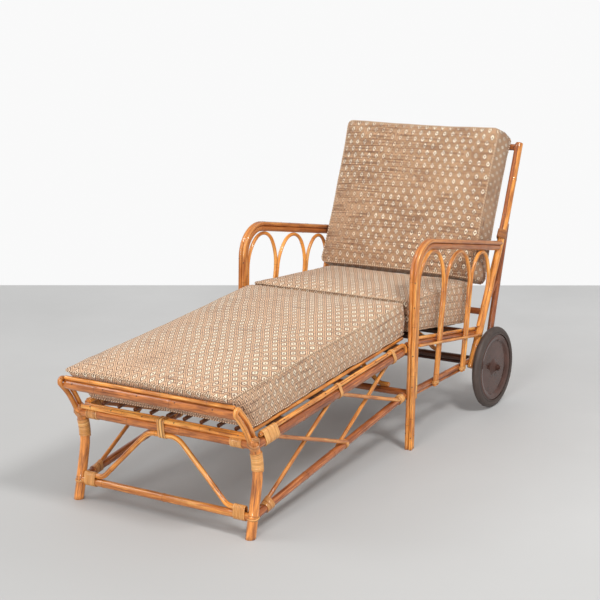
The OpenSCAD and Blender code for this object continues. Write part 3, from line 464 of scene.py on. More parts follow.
both_sides("side_rail_pole", [(sloped(leg_x, rest_line, (-0.7525, 0.0358)), rail_r)],
           brown_pole, "brown_pole", "side_rail", 41)
hook_start, hook_turn = sloped(leg_x, rest_line, (-0.7309, 0.0589), nested_lift / math.cos(rest_tilt))
hook_line = [hook_start, (*hook_turn, nested_lift), (leg_x, 0.0561, 0.3062)]
both_sides("side_rail_top_cane", [(hook_line, nested_r)], amber_cane, "amber_cane", "side_rail_cane", 43)
both_sides("low_side_pole", [(sloped(leg_x, low_line, (-0.7655, 0.0462)), low_r)],
           brown_pole, "brown_pole", "low_side_rail", 45)
inner, outer = leg_x - cane_r - touch, leg_x + cane_r + touch
both_sides("lattice_cane", [([(inner, -0.7213, 0.0648), (inner, -0.3463, 0.2798)], cane_r),
                            ([(inner, -0.3393, 0.12), (inner, -0.0253, 0.3035)], cane_r),
                            ([(outer, -0.6703, 0.255), (outer, -0.2993, 0.1256)], cane_r),
                            ([(outer, -0.3323, 0.2807), (outer, 0.0047, 0.1691)], cane_r)],
           amber_cane, "amber_cane", "side_lattice", 47, tone=(0.45, 0.25), step=0.03)

# Arms: leg, bend and arm of one pole, two canes laid on its outside, and three bent canes
# under it whose sides run down as pairs of balusters.
arm_x = middle("arm_pole_right", 0)
arm_r, arm_cane_r = 0.01, 0.0065
arm_canes_apart = 0.0066
both_sides("arm_main_pole", [([(arm_x, 0.056, -0.01), (arm_x, 0.1068, 0.636, 0.085),
                               (arm_x, 0.6706, 0.5223)], arm_r)],
           amber_cane, "brown_pole", "arm_pole", 51, tone=(0.0, 1.0), standing=True)
both_sides("arm_outer_canes", [([(arm_x + side, 0.0406, -0.0088), (arm_x + side, 0.0928, 0.6546, 0.1004),
                                 (arm_x + side, 0.6736, 0.5374)], arm_cane_r)
                               for side in (-arm_canes_apart, arm_canes_apart)],
           amber_cane, "amber_cane", "arm_canes", 53, tone=(0.0, 1.0), standing=True)
arch_bends = [
    [(0.2115, 0.1596), (0.2838, 0.5179, 0.1466), (0.2435, 0.5918, 0.066),
     (0.1832, 0.604, 0.066), (0.1164, 0.5507, 0.126), (0.0852, 0.1536)],
    [(0.3952, 0.1596), (0.4605, 0.4835, 0.1423), (0.421, 0.556, 0.066),
     (0.3606, 0.5682, 0.066), (0.2961, 0.5167, 0.1423), (0.2241, 0.1596)],
    [(0.5147, 0.285), (0.6081, 0.45, 0.1195), (0.5662, 0.5267, 0.045),
     (0.5251, 0.535, 0.045), (0.4754, 0.4954, 0.117), (0.4077, 0.1596)]]
both_sides("arm_arch_canes", [([(arm_x, *spot) for spot in bends], cane_r) for bends in arch_bends],
           amber_cane, "amber_cane", "arm_arches", 55)

# Seat sides: a rail inside the balusters with a cane on it, a thin cane outside them, and
# a low rail with a thin cane under it.
cross_r, thin_r, arm_low_r = 0.011, 0.0045, 0.009
seat_tilt = math.radians(-8.7)


def seat_line(y):
    """Height of the seat rails."""
    return 0.3263 + (y - 0.0672) * math.tan(seat_tilt)


both_sides("seat_side_pole", [(sloped(leg_x, seat_line, (0.0672, 0.5436)), cross_r)],
           brown_pole, "brown_pole", "seat_rail", 61)
seat_cane_lift = cross_r + cane_r + touch
outside_x = arm_x + cane_r + thin_r + touch
both_sides("seat_side_canes", [(sloped(leg_x, seat_line, (0.0962, 0.5356), seat_cane_lift), cane_r),
                               (sloped(outside_x, seat_line, (0.0962, 0.5217)), thin_r)],
           amber_cane, "amber_cane", "seat_canes", 63)
low_x, low_z = arm_x - cane_r - arm_low_r - touch, middle("low_cross_rail", 2)
under_z = low_z - arm_low_r - thin_r - touch
both_sides("arm_low_poles", [([(low_x, 0.0816, low_z), (low_x, 0.5897, low_z)], arm_low_r),
                             ([(low_x, 0.0816, under_z), (low_x, 0.4377, under_z)], thin_r)],
           brown_pole, "brown_pole", "arm_low_rail", 65, tone=(0.2, 0.2))

# Cross frame between the arm legs: two rails coped against the legs, and an arch of cane.
# The rails are red-brown pole, and the arch is bent cane like the one in front.
cross_reach = arm_x - 0.008
poles("seat_cross_pole", [crosswise("seat_cross_rail", cross_reach, cross_r)],
      brown_pole, "brown_pole", "seat_cross_rail", seed=71)
poles("low_cross_pole", [crosswise("low_cross_rail", cross_reach, cross_r)],
      brown_pole, "brown_pole", "low_cross_rail", seed=72)
middle_arch_line = flat_arch((0.0918, 0.0804, 0.2819, 0.06), (0.2004, 0.0703, 0.1914, 0.04), 0.2369)
poles("middle_arch_cane", [(middle_arch_line, brace_r)], amber_cane, "amber_cane", "middle_arch", seed=73)

# Back: two posts with a cane in front of each, a top and a low rail, and seven canes
# down the back of the panel.
post_r = 0.0125
post_reach = arm_x - 0.009
both_sides("back_post_pole", [([(arm_x, 0.4627, 0.155), (arm_x, 0.7146, 0.6001, 0.8),
                                (arm_x, 0.823, 0.8555)], post_r)],
           amber_cane, "amber_cane", "back_post", 81, tone=(0.15, 0.0))
post_cane_line = [(arm_x, 0.6712, 0.5616), (arm_x, 0.6977, 0.6085, 0.7812), (arm_x, 0.8025, 0.8555)]
poles("back_post_front_canes", [(post_cane_line, cane_r), (mirrored(post_cane_line), cane_r)],
      brown_pole, "amber_cane", "back_post_canes", seed=83)
poles("back_top_pole", [crosswise("back_top_rail", post_reach, cross_r)],
      brown_pole, "brown_pole", "back_top_rail", seed=84)
poles("back_low_pole", [crosswise("back_low_rail", post_reach, cross_r)],
      brown_pole, "brown_pole", "back_low_rail", seed=85)
panel_apart = 0.08
poles("back_panel_canes", [([(panel_apart * i, 0.5659, 0.3023), (panel_apart * i, 0.7301, 0.5925, 0.8173),
                             (panel_apart * i, 0.8373, 0.8451)], cane_r) for i in range(-3, 4)],
      amber_cane, "amber_cane", "back_canes", seed=86)

# Rear frame: legs that run from under the axle up to the posts, short struts, a cross rail,
# the beam on the axle, and a small arch.
poles("rear_cross_pole", [crosswise("rear_cross_rail", 0.2914, cross_r, touch)],
      brown_pole, "brown_pole", "rear_cross_rail", seed=91)
poles("rear_strut_canes", [([(x, 0.5734, 0.3449), (x, 0.6557, 0.4118)], cane_r) for x in (-arm_x, arm_x)],
      brown_pole, "amber_cane", "rear_struts", seed=92)
rear_arch_line = flat_arch((0.0831, 0.5286, 0.2369, 0.04), (0.1273, 0.5677, 0.1711, 0.014), 0.1434)
poles("rear_arch_cane", [(rear_arch_line, brace_r)], amber_cane, "amber_cane", "rear_arch", seed=93)
poles("axle_beam_pole", [crosswise("axle_beam", 0.3087, cross_r)],
      dark_and_shaded_pole, "dark_wood", "axle_beam", seed=94)
both_sides("rear_leg_pole", [([(arm_x, 0.5601, 0.1132), (arm_x, 0.7217, 0.596)], cross_r)],
           brown_pole, "brown_pole", "rear_leg", 95)

# Deck: canes along the leg rest and the seat, which the cushions lie on. Those under the
# cushions have a dark finish that is painted shade, and the two lit ones at the edges are bright.
deck_apart, edge_x = 0.058, 0.2807
rest_ends, seat_ends = (-0.7406, 0.0759), (0.1044, 0.5169)
rest_deck_lift, seat_deck_lift = 0.0301, 0.0279
poles("deck_long_canes", [(sloped(deck_apart * i, rest_line, rest_ends, rest_deck_lift), cane_r)
                          for i in range(-4, 5)], dark_and_shaded_pole, "dark_wood", "deck_canes", seed=101,
      sides=12, step=0.06, tone=(0.3, 0.3))
poles("edge_long_canes", [(sloped(x, rest_line, rest_ends, rest_deck_lift), cane_r)
                          for x in (-edge_x, edge_x)], amber_cane, "amber_cane", "edge_canes", seed=102)
poles("seat_long_canes", [(sloped(deck_apart * i, seat_line, seat_ends, seat_deck_lift), cane_r)
                          for i in range(-4, 5)], dark_and_shaded_pole, "dark_wood", "seat_deck_canes", seed=103,
      sides=12, step=0.06, tone=(0.3, 0.3))

# Slats: flat boards of dark-stained wood laid across the rails, their edges eased. Four
# lie under the leg rest's cushion and two under the seat's.
material, tree, shader = new_material("dark_wood")
spot = add(tree, "ShaderNodeTexCoord").outputs["Object"]
long_way = add(tree, "ShaderNodeVectorMath", {0: spot, 1: (9, 260, 260)}, operation="MULTIPLY")
fibre = add(tree, "ShaderNodeTexNoise", {"Vector": long_way.outputs[0], "Scale": 1.0, "Detail": 5.0,
                                         "Distortion": 0.4}).outputs["Fac"]
smudge = add(tree, "ShaderNodeTexNoise", {"Vector": spot, "Scale": 14.0, "Detail": 3.0}).outputs["Fac"]
board = ramp(tree, fibre, [(0.3, (0.028, 0.012, 0.007)), (0.55, (0.075, 0.032, 0.016)),
                           (0.75, (0.14, 0.062, 0.03))])
board = mix(tree, math_of(tree, "MULTIPLY_ADD", smudge, 3.0, -1.4, clamp=True), board, (0.05, 0.02, 0.011))
tree.links.new(board, shader.inputs["Base Color"])
tree.links.new(math_of(tree, "MULTIPLY_ADD", fibre, 0.3, 0.32), shader.inputs["Roughness"])
bump = add(tree, "ShaderNodeBump", {"Height": fibre, "Strength": 0.4, "Distance": 0.0005})
tree.links.new(bump.outputs["Normal"], shader.inputs["Normal"])
dark_wood = material

slat_w, slat_t = 0.055, 0.012
form = bmesh.new()
slat_places = [(-0.6233 + 0.212 * i, rest_line, rest_tilt, 0.0118, 0.2954) for i in range(4)]
slat_places += [(y, seat_line, seat_tilt, 0.0093, 0.2964) for y in (0.1727, 0.3627)]
for y, line, slope, lift, half in slat_places:
    made = bmesh.ops.create_cube(form, size=1)["verts"]
    bmesh.ops.scale(form, vec=(2 * half, slat_w, slat_t), verts=made)
    bmesh.ops.translate(form, vec=(0, 0, lift + slat_t / 2), verts=made)
    bmesh.ops.rotate(form, matrix=Matrix.Rotation(slope, 3, "X"), verts=made)
    bmesh.ops.translate(form, vec=(0, y, line(y)), verts=made)
bmesh.ops.bevel(form, geom=form.edges[:], offset=0.0018, affect="EDGES", segments=2, profile=0.5, material=-1)
place_piece("slat_boards", form, dark_wood, "dark_wood", "frame", "deck_slats")

# Bindings: strips of split cane wound tight round the joints, paler than the poles. The
# leg tops also have slanting turns that cross, and three straps hold the pair in front.
pale_binding = rattan("pale_binding", (1.0, 0.66, 0.27), (0.98, 0.49, 0.15), (0.60, 0.23, 0.05),
                      (0.33, 0.11, 0.045), 0.26)


def outline_point(circles, angle, out):
    """A point on the band drawn tight round a group of poles, seen end on."""
    x, y, r = max(circles, key=lambda c: c[0] * math.cos(angle) + c[1] * math.sin(angle) + c[2])
    return Vector((x + (r + out) * math.cos(angle), y + (r + out) * math.sin(angle), 0))


def strip(piece, line, width, thick, chance, tone=0.0, closed=False):
    """Sweeps a flat strip of split cane along (place, outward) stations."""
    form = bmesh.new()
    grain = form.verts.layers.float_vector.new("grain")
    finish = form.verts.layers.float_vector.new("finish")
    circle = bmesh.ops.create_circle(form, cap_ends=not closed, segments=6, radius=1,
                                     matrix=Matrix.Rotation(math.radians(30), 4, "Z"))["verts"]
    flat = [v.co.copy() for v in circle]
    edges = list({e for v in circle for e in v.link_edges})
    first_edges = edges
    verts, gone, body, shift = circle, 0.0, chance.uniform(0.35, 0.65), chance.uniform(0, 40)
    for i, (place, outward) in enumerate(line):
        if closed:
            forward = line[(i + 1) % len(line)][0] - line[i - 1][0]
        else:
            forward = line[min(i + 1, len(line) - 1)][0] - line[max(i - 1, 0)][0]
        forward.normalize()
        outward = (outward - forward * outward.dot(forward)).normalized()
        side = forward.cross(outward)
        if i:
            made = bmesh.ops.extrude_edge_only(form, edges=edges)["geom"]
            verts = [g for g in made if isinstance(g, bmesh.types.BMVert)]
            edges = [g for g in made if isinstance(g, bmesh.types.BMEdge)
                     and all(v in verts for v in g.verts)]
            gone += (place - line[i - 1][0]).length
        for v, spot in zip(verts, flat):
            v.co = place + side * spot.x * width / 2 + outward * spot.y * thick / 2
            v[grain] = (spot.x * width / 2 + shift, spot.y * thick / 2, gone + shift)
            # The first channel darkens the strip towards its edges: painted shade in the gaps between turns.
            v[finish] = (0.9 * abs(spot.x), tone, body)
    if closed:
        bmesh.ops.bridge_loops(form, edges=first_edges + edges)
    else:
        bmesh.ops.edgeloop_fill(form, edges=edges)
    bmesh.ops.recalc_face_normals(form, faces=form.faces)
    for face in form.faces:
        face.smooth = True
    mesh = bpy.data.meshes.new("strip")
    form.to_mesh(mesh)
    form.free()
    piece.from_mesh(mesh)
    bpy.data.meshes.remove(mesh)


def wind(piece, circles, centre, axis, up, run, turns, chance, thick=0.0017, tone=0.0, bend=None):
    """A strip wound round a group of poles, given as circles across the axis."""
    axis = Vector(axis).normalized()
    up = (Vector(up) - axis * Vector(up).dot(axis)).normalized()
    side = up.cross(axis)
    line, steps = [], 24
    width = run / turns
    for k in range(turns * steps + 1):
        angle = 2 * math.pi * k / steps + chance.uniform(-0.01, 0.01)
        height = -run / 2 + width / 2 + (run - width) * k / (turns * steps)
        spot = outline_point(circles(height) if callable(circles) else circles, angle, thick / 2 + 0.0003)
        out = side * math.cos(angle) + up * math.sin(angle)
        place = side * spot.x + up * spot.y + axis * height
        if bend:
            place, out = bend(spot, height, angle)
        else:
            place += Vector(centre)
        line.append((place, out))
    strip(piece, line, width * 1.02, thick * 2, chance, tone)


front_y, front_z = middle("top_front_rail", 1), middle("top_front_rail", 2)
low_front_y, low_front_z = middle("lower_front_rail", 1), middle("lower_front_rail", 2)
rest_way = (0, math.cos(rest_tilt), math.sin(rest_tilt))
low_way = (0, math.cos(low_tilt), math.sin(low_tilt))
upright, along_chair, across_chair = (0, 0, 1), (0, 1, 0), (1, 0, 0)
chance = random.Random(111)
form = bmesh.new()
form.verts.layers.float_vector.new("grain")
form.verts.layers.float_vector.new("finish")
rail_group = [(0, 0, rail_r), (0, nested_lift, nested_r)]
strap_group = [(0, 0, rail_r), (-pair_apart, 0.0195, nested_r), (pair_apart, 0.0195, nested_r),
               (-0.003, -0.0213, brace_r)]
foot_group = [(0, 0, low_r), (0, low_r + brace_r + touch, brace_r)]


def leg_bend(spot, height, angle):
    """A point on the sleeve over the bend of a front leg."""
    bend_middle = Vector((leg_x * hand, -0.9345, 0.1861))
    lean = -math.radians(6) - height / leg_bend_r
    out = Vector((0, math.cos(lean), -math.sin(lean)))
    place = bend_middle + out * (leg_bend_r + spot.y)
    return place + Vector((spot.x, 0, 0)), Vector((math.cos(angle), 0, 0)) + out * math.sin(angle)


def ring_round(centre, radius, slant, pieces=28, late=0.0):
    """Stations of a strip that lies as a slanting ring round an upright pole."""
    found = []
    for k in range(pieces):
        angle = 2 * math.pi * k / pieces
        outward = Vector((math.cos(angle), math.sin(angle), 0))
        rise = Vector((0, 0, slant * math.cos(angle + late)))
        found.append((centre + (outward + rise) * radius, outward))
    return found


for hand in (1, -1):
    x = leg_x * hand
    for y, run, turns in ((-0.6873, 0.07, 14), (-0.3353, 0.018, 3), (-0.0273, 0.02, 3)):
        wind(form, rail_group, (x, y, rest_line(y)), rest_way, upright, run, turns, chance)
    for y, run, turns in ((-0.3073, 0.018, 3), (0.0187, 0.034, 6)):
        wind(form, [(0, 0, low_r)], (x, y, low_line(y)), low_way, upright, run, turns, chance)
    wind(form, [(0, 0, leg_r)], None, upright, along_chair, 0.0585, 12, chance, bend=leg_bend)
    wind(form, [(0, 0, rail_r)], (0.252 * hand, front_y, front_z), across_chair, upright, 0.044, 9, chance,
         tone=0.15)
    # The wrap at each lattice foot is mixed darker by its tone: painted shade, as it lies on the shadow side.
    wind(form, lambda height: [(0, 0, low_r), (0.0063 * hand, 0.0105 + 0.4 * height, cane_r)],
         (x, -0.7033, low_line(-0.7033)), low_way, upright, 0.036, 8, chance, tone=0.45)
    wind(form, foot_group, (0.262 * hand, low_front_y, low_front_z), across_chair, upright, 0.044, 9, chance)
    strip(form, ring_round(Vector((x, -0.7722, 0.0535)), 0.0162, 0.1, late=-math.pi / 2), 0.0075, 0.0032,
          chance, closed=True)
    for slant, radius in ((0.85, 0.0167), (-0.85, 0.0158)):
        for k in (-1, 0, 1):
            strip(form, ring_round(Vector((x, -0.7605, 0.2615 + 0.0042 * k)), radius, slant, late=0.7),
                  0.0044, 0.0026, chance, tone=0.75, closed=True)
for k in (-1, 0, 1):
    strap_middle = Vector((0.0094 * k, front_y, front_z))
    line = []
    for angle in [2 * math.pi * j / 56 for j in range(56)]:
        spot = outline_point(strap_group, angle, 0.0014)
        line.append((strap_middle + Vector((0.0006 * math.sin(angle + k), spot.x, spot.y)),
                     Vector((0, math.cos(angle), math.sin(angle)))))
    strip(form, line, 0.0088, 0.0024, chance, tone=-0.2, closed=True)
for hand in (1, -1):
    wind(form, [(0, 0, 0.0129), (0, 0.0188, 0.0062)], (arm_x * hand, 0.6929, 0.5618), (0, 0.4925, 0.8703),
         (0, -0.8703, 0.4925), 0.034, 8, chance, tone=1.0)
    for y in (0.2189, 0.4024):
        wind(form, [(0, 0.0062, 0.0062), (0, -0.0062, 0.0062)], (arm_x * hand, y, 0.1715), upright,
             along_chair, 0.013, 3, chance, tone=-0.2)
place_piece("joint_bindings", form, pale_binding, "binding_cane", "frame", "bindings")

# Nails: small dark steel heads that hold the canes to the poles under them. They are
# driven slanting, so each head lies flat on the round of its cane.
material, tree, shader = new_material("nail_steel")
spot = add(tree, "ShaderNodeTexCoord").outputs["Object"]
rust = add(tree, "ShaderNodeTexNoise", {"Vector": spot, "Scale": 700.0, "Detail": 3.0}).outputs["Fac"]
tree.links.new(ramp(tree, rust, [(0.35, (0.020, 0.012, 0.010)), (0.65, (0.085, 0.040, 0.022))]),
               shader.inputs["Base Color"])
tree.links.new(math_of(tree, "MULTIPLY_ADD", rust, 0.3, 0.3), shader.inputs["Roughness"])
nail_steel = material
nail_r = 0.0021
pair_y, pair_z = middle("top_front_canes", 1) + front_shift - pair_apart, middle("top_front_canes", 2)
bumper_y, bumper_z = middle("bumper_rail", 1), middle("bumper_rail", 2)
form = bmesh.new()
nail_spots = [((x, pair_y, pair_z), (0, -0.8, 0.6), nested_r)
              for x in (-0.253, -0.176, -0.065, 0.047, 0.169, 0.262)]
nail_spots += [((x, bumper_y, bumper_z), (0, -0.85, 0.5), bumper_r)
               for x in (-0.262, -0.15, -0.03, 0.1, 0.225)]
for hand in (1, -1):
    nail_spots += [((leg_x * hand, y, rest_line(y) + nested_lift), (0.75 * hand, 0, 0.65), nested_r)
                   for y in (-0.62, -0.5, -0.41, -0.25, -0.13, -0.06)]
    for side in (-arm_canes_apart, arm_canes_apart):
        x = arm_x * hand + side
        nail_spots += [((x, 0.0413 + z * 0.0787, z), (side * 60, -1, 0.08), arm_cane_r)
                       for z in (0.045 - side, 0.18 + 3 * side, 0.31 - 2 * side, 0.44 + side, 0.53 - side)]
        nail_spots += [((x, y, 0.6733 - y * 0.2018), (side * 60, 0.2, 1), arm_cane_r)
                       for y in (0.21 - side, 0.34 + 2 * side, 0.47 - side, 0.61 + side)]
for place, out, reach in nail_spots:
    out = Vector(out).normalized()
    made = bmesh.ops.create_icosphere(form, subdivisions=2, radius=nail_r)["verts"]
    bmesh.ops.scale(form, vec=(1, 1, 0.5), verts=made)
    bmesh.ops.rotate(form, matrix=out.to_track_quat("Z", "Y").to_matrix(), verts=made)
    bmesh.ops.translate(form, vec=Vector(place) + out * reach, verts=made)
for face in form.faces:
    face.smooth = True
place_piece("nail_heads", form, nail_steel, "axle_steel", "frame")

# Cushions: foam in a woven cotton cover, a boxed strip between two faces, with a corded
# seam round each face. The foam swells between the seams.
thread = 0.0009
diamond_w, diamond_h = 0.030, 0.047


def weave(name, ground, ink, ring, seed_shift, streaks):
    """Woven cloth with rows of ringed diamonds, dark slubs along the weft and pale warp threads."""
    material, tree, shader = new_material(name)

    def off_middle(value):
        """Distance from the middle of a repeat, 0 to 0.5."""
        return math_of(tree, "ABSOLUTE", math_of(tree, "SUBTRACT", math_of(tree, "FRACT", value), 0.5))

    cloth = add(tree, "ShaderNodeUVMap", uv_map="cloth").outputs["UV"]
    parts = add(tree, "ShaderNodeSeparateXYZ", {0: cloth}).outputs
    across_thread = math_of(tree, "SNAP", parts["X"], thread)
    along_thread = math_of(tree, "SNAP", parts["Y"], thread)
    wave = add(tree, "ShaderNodeTexNoise", {"Vector": cloth, "Scale": 7.0, "Detail": 1.0})
    lean = math_of(tree, "MULTIPLY_ADD", wave.outputs["Fac"], 0.25, seed_shift)
    u = math_of(tree, "MULTIPLY_ADD", across_thread, 1 / diamond_w, lean)
    v = math_of(tree, "MULTIPLY_ADD", along_thread, 1 / diamond_h, lean)
    rising = off_middle(math_of(tree, "ADD", u, v))
    falling = off_middle(math_of(tree, "SUBTRACT", u, v))
    diamond = math_of(tree, "MULTIPLY", math_of(tree, "MAXIMUM", rising, falling), 2.0)
    line = tuple(0.4 * a + 0.6 * b for a, b in zip(ground, ink))
    bands = [(0.0, ink), (0.17, ink), (0.21, ring), (0.45, ring), (0.49, ink), (0.66, ink), (0.70, ground),
             (0.86, ground), (0.90, line)]
    faded = [(at, ground if colour == ring else colour) for at, colour in bands]
    clear = add(tree, "ShaderNodeTexNoise", {"Vector": cloth, "Scale": 3.5, "Detail": 1.0}).outputs["Fac"]
    dim = ramp(tree, diamond, faded)
    clear = math_of(tree, "MULTIPLY_ADD", parts["X"], 0.5, clear)
    clear = math_of(tree, "MULTIPLY_ADD", clear, 3.0, -0.6, clamp=True)
    motif = mix(tree, clear, dim, ramp(tree, diamond, bands))
    long_thread = add(tree, "ShaderNodeVectorMath", {0: cloth, 1: (9, 260, 1)}, operation="MULTIPLY")
    slub = add(tree, "ShaderNodeTexNoise", {"Vector": long_thread.outputs[0], "Scale": 1.0, "Detail": 2.0,
                                            "Roughness": 0.5}).outputs["Fac"]
    cluster = add(tree, "ShaderNodeTexNoise", {"Vector": cloth, "Scale": 5.0, "Detail": 1.0}).outputs["Fac"]
    often = math_of(tree, "MULTIPLY_ADD", cluster, 0.22, slub)
    weft = math_of(tree, "MULTIPLY_ADD", often, 9.0, streaks, clamp=True)
    colour = mix(tree, math_of(tree, "MULTIPLY", weft, 0.72), motif, tuple(c * 1.6 for c in ink))
    wide_way = add(tree, "ShaderNodeVectorMath", {0: cloth, 1: (420, 30, 1)}, operation="MULTIPLY")
    warp = add(tree, "ShaderNodeTexNoise", {"Vector": wide_way.outputs[0], "Scale": 1.0,
                                            "Detail": 2.0}).outputs["Fac"]
    colour = mix(tree, math_of(tree, "MULTIPLY_ADD", warp, 1.8, -0.85, clamp=True), colour,
                 tuple(min(1.0, c * 1.18) for c in ground))
    tree.links.new(colour, shader.inputs["Base Color"])
    shader.inputs["Roughness"].default_value = 0.9
    shader.inputs["Sheen Weight"].default_value = 0.12
    shader.inputs["Sheen Roughness"].default_value = 0.5
    ribs = add(tree, "ShaderNodeVectorMath", {0: cloth, 1: (math.pi / thread, math.pi / thread, 0)},
               operation="MULTIPLY")
    rib = add(tree, "ShaderNodeSeparateXYZ", {0: ribs.outputs[0]}).outputs
    threads = math_of(tree, "MULTIPLY", math_of(tree, "SINE", rib["X"]), math_of(tree, "SINE", rib["Y"]))
    height = math_of(tree, "MULTIPLY_ADD", threads, 0.4, slub)
    bump = add(tree, "ShaderNodeBump", {"Height": height, "Strength": 0.5, "Distance": 0.0007})
    tree.links.new(bump.outputs["Normal"], shader.inputs["Normal"])
    return material


face_cloth = weave("diamond_cloth", (0.79, 0.505, 0.31), (0.065, 0.019, 0.007), (1.0, 0.88, 0.68), 0.0, -6.0)
back_cloth = weave("back_cloth", (0.70, 0.425, 0.24), (0.065, 0.019, 0.007), (1.0, 0.88, 0.68), 0.11, -5.3)
# The boxing cloth is the cover's cloth made more orange: the extra orange is painted bounce light from the
# amber canes.
side_cloth = weave("boxing_cloth", (0.82, 0.43, 0.20), (0.11, 0.033, 0.012), (0.86, 0.52, 0.28), 0.31, -4.9)


def cushion_outline(half_w, half_l, radius=0.018, draw=0.005, segments=6, side_pieces=24):
    """Plan outline of a cushion, its sides drawn in a little between the corners."""
    spots = []
    for quarter in range(4):
        sx, sy = ((1, 1), (-1, 1), (-1, -1), (1, -1))[quarter]
        for k in range(segments + 1):
            a = math.radians(90 * quarter + 90 * k / segments)
            spots.append((sx * (half_w - radius) + radius * math.cos(a),
                          sy * (half_l - radius) + radius * math.sin(a)))
        reach = 2 * (half_w - radius if quarter % 2 == 0 else half_l - radius)
        for k in range(1, side_pieces):
            t = k / side_pieces
            pull = draw * math.sin(math.pi * t)
            if quarter % 2 == 0:
                spots.append((sx * (half_w - radius) - sx * reach * t, sy * (half_l - pull)))
            else:
                spots.append((sx * (half_w - pull), sy * (half_l - radius) - sy * reach * t))
    return spots


shrink, stand_out, most_swell = 0.0028, 0.0008, 0.012
seam_grip, cord_w = 0.014, 0.0052


def stuffed(name, node, origin, tilt, width, length, thick, lean, tail, lift, sag, voxel,
            cover=face_cloth, flip=None):
    """One cushion from its solid: swollen as cloth between its seams, then cut into panels."""
    solid = bmesh.new()
    solid.from_mesh(nodes[node].data)
    bmesh.ops.remove_doubles(solid, verts=solid.verts, dist=0.00005)
    bmesh.ops.recalc_face_normals(solid, faces=solid.faces)
    outside = BVHTree.FromBMesh(solid)
    solid.normal_update()
    for v, normal in [(v, v.normal.copy()) for v in solid.verts]:
        v.co -= normal * shrink
    mesh = bpy.data.meshes.new(name)
    solid.to_mesh(mesh)
    solid.free()
    pad = bpy.data.objects.new(name, mesh)
    scene.collection.objects.link(pad)
    way = flip or Matrix.Identity(3)
    own = (Matrix.Translation(origin) @ Matrix.Rotation(tilt, 4, "X") @ way.to_4x4())
    back_to_own = own.inverted()

    def seam(share):
        """The seam line at the foot (0) or the top (1) of the boxing, in the row frame."""
        half_w, half_l = width / 2 - 0.006, length / 2 - 0.009
        line = []
        for x, y in cushion_outline(half_w, half_l):
            part = (y + half_l) / (2 * half_l)
            slide = (1 - part) * lean + part * tail
            line.append(own @ Vector((x, y + share * slide, share * (thick + lift * part))))
        return line

    def swap(kind, **settings):
        change = pad.modifiers.new(kind, kind)
        for key, value in settings.items():
            setattr(change, key, value)
        return change

    def keep():
        done = bpy.data.meshes.new_from_object(pad.evaluated_get(bpy.context.evaluated_depsgraph_get()))
        pad.modifiers.clear()
        pad.data = done

    swap("REMESH", mode="VOXEL", voxel_size=voxel)
    keep()
    seams = seam(0) + seam(1)
    tree = KDTree(len(seams) * 4)
    for k, (a, b) in enumerate(zip(seams, seams[1:] + seams[:1])):
        for j in range(4):
            tree.insert(a.lerp(b, j / 4) if (b - a).length < 0.1 else a, k * 4 + j)
    tree.balance()
    held = pad.vertex_groups.new(name="seams")
    for v in pad.data.vertices:
        gap = tree.find(v.co)[2]
        if gap < seam_grip:
            held.add([v.index], 1 - gap / 0.02, "REPLACE")
    cloth = swap("CLOTH").settings
    cloth.quality = 4
    cloth.mass = 0.3
    cloth.tension_stiffness = 12
    cloth.compression_stiffness = 12
    cloth.bending_stiffness = 1.5
    cloth.use_pressure = True
    cloth.uniform_pressure_force = 4
    cloth.vertex_group_mass = "seams"
    cloth.effector_weights.gravity = 0
    before = [v.co.copy() for v in pad.data.vertices]
    for step in range(1, 21):
        scene.frame_set(step)
    keep()
    for v, start in zip(pad.data.vertices, before):
        move = v.co - start
        if move.length > most_swell:
            v.co = start + move.normalized() * most_swell
    scene.frame_set(1)
    for v in pad.data.vertices:
        v.co += noise.noise_vector(v.co * 17) * 0.0011 + noise.noise_vector(v.co * 6) * 0.0016
        place, normal, _, gap = outside.find_nearest(v.co)
        out = (v.co - place).dot(normal)
        if out > stand_out:
            v.co -= normal * (out - stand_out)
        local = back_to_own @ v.co
        if local.z < touch - sag:
            v.co = own @ Vector((local.x, local.y, touch - sag))
    form = bmesh.new()
    form.from_mesh(pad.data)
    turn = back_to_own.to_3x3()
    layer = form.loops.layers.uv.new("cloth")
    for face in form.faces:
        facing = turn @ face.normal
        face.smooth = True
        on_face = abs(facing.z) > 0.62
        face.material_index = 0 if on_face else 1
        for loop in face.loops:
            spot = back_to_own @ loop.vert.co
            if on_face:
                loop[layer].uv = (spot.x, spot.y)
            elif abs(facing.x) > abs(facing.y):
                loop[layer].uv = (spot.y, spot.z)
            else:
                loop[layer].uv = (spot.x, spot.z)
    form.to_mesh(pad.data)
    form.free()
    pad.data.materials.clear()
    pad.data.materials.append(cover)
    pad.data.materials.append(side_cloth)
    swap("SUBSURF", levels=1, render_levels=1)
    surface = BVHTree.FromPolygons([v.co for v in pad.data.vertices], [p.vertices for p in pad.data.polygons])
    form = bmesh.new()
    form.verts.layers.float_vector.new("grain")
    form.verts.layers.float_vector.new("finish")
    chance = random.Random(name)
    for share in (0, 1):
        line = []
        rough = seam(share)
        for a, b in zip(rough, rough[1:] + rough[:1]):
            stations = max(1, round((b - a).length / 0.012))
            for j in range(stations):
                place, normal, _, _ = surface.find_nearest(a.lerp(b, j / stations))
                line.append((place + normal * 0.0006, normal))
        strip(form, line, cord_w, cord_w, chance, closed=True)
    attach(pad, "frame")
    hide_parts(node)
    place_piece(name + "_cord", form, piping, "cushion_fabric", "frame")


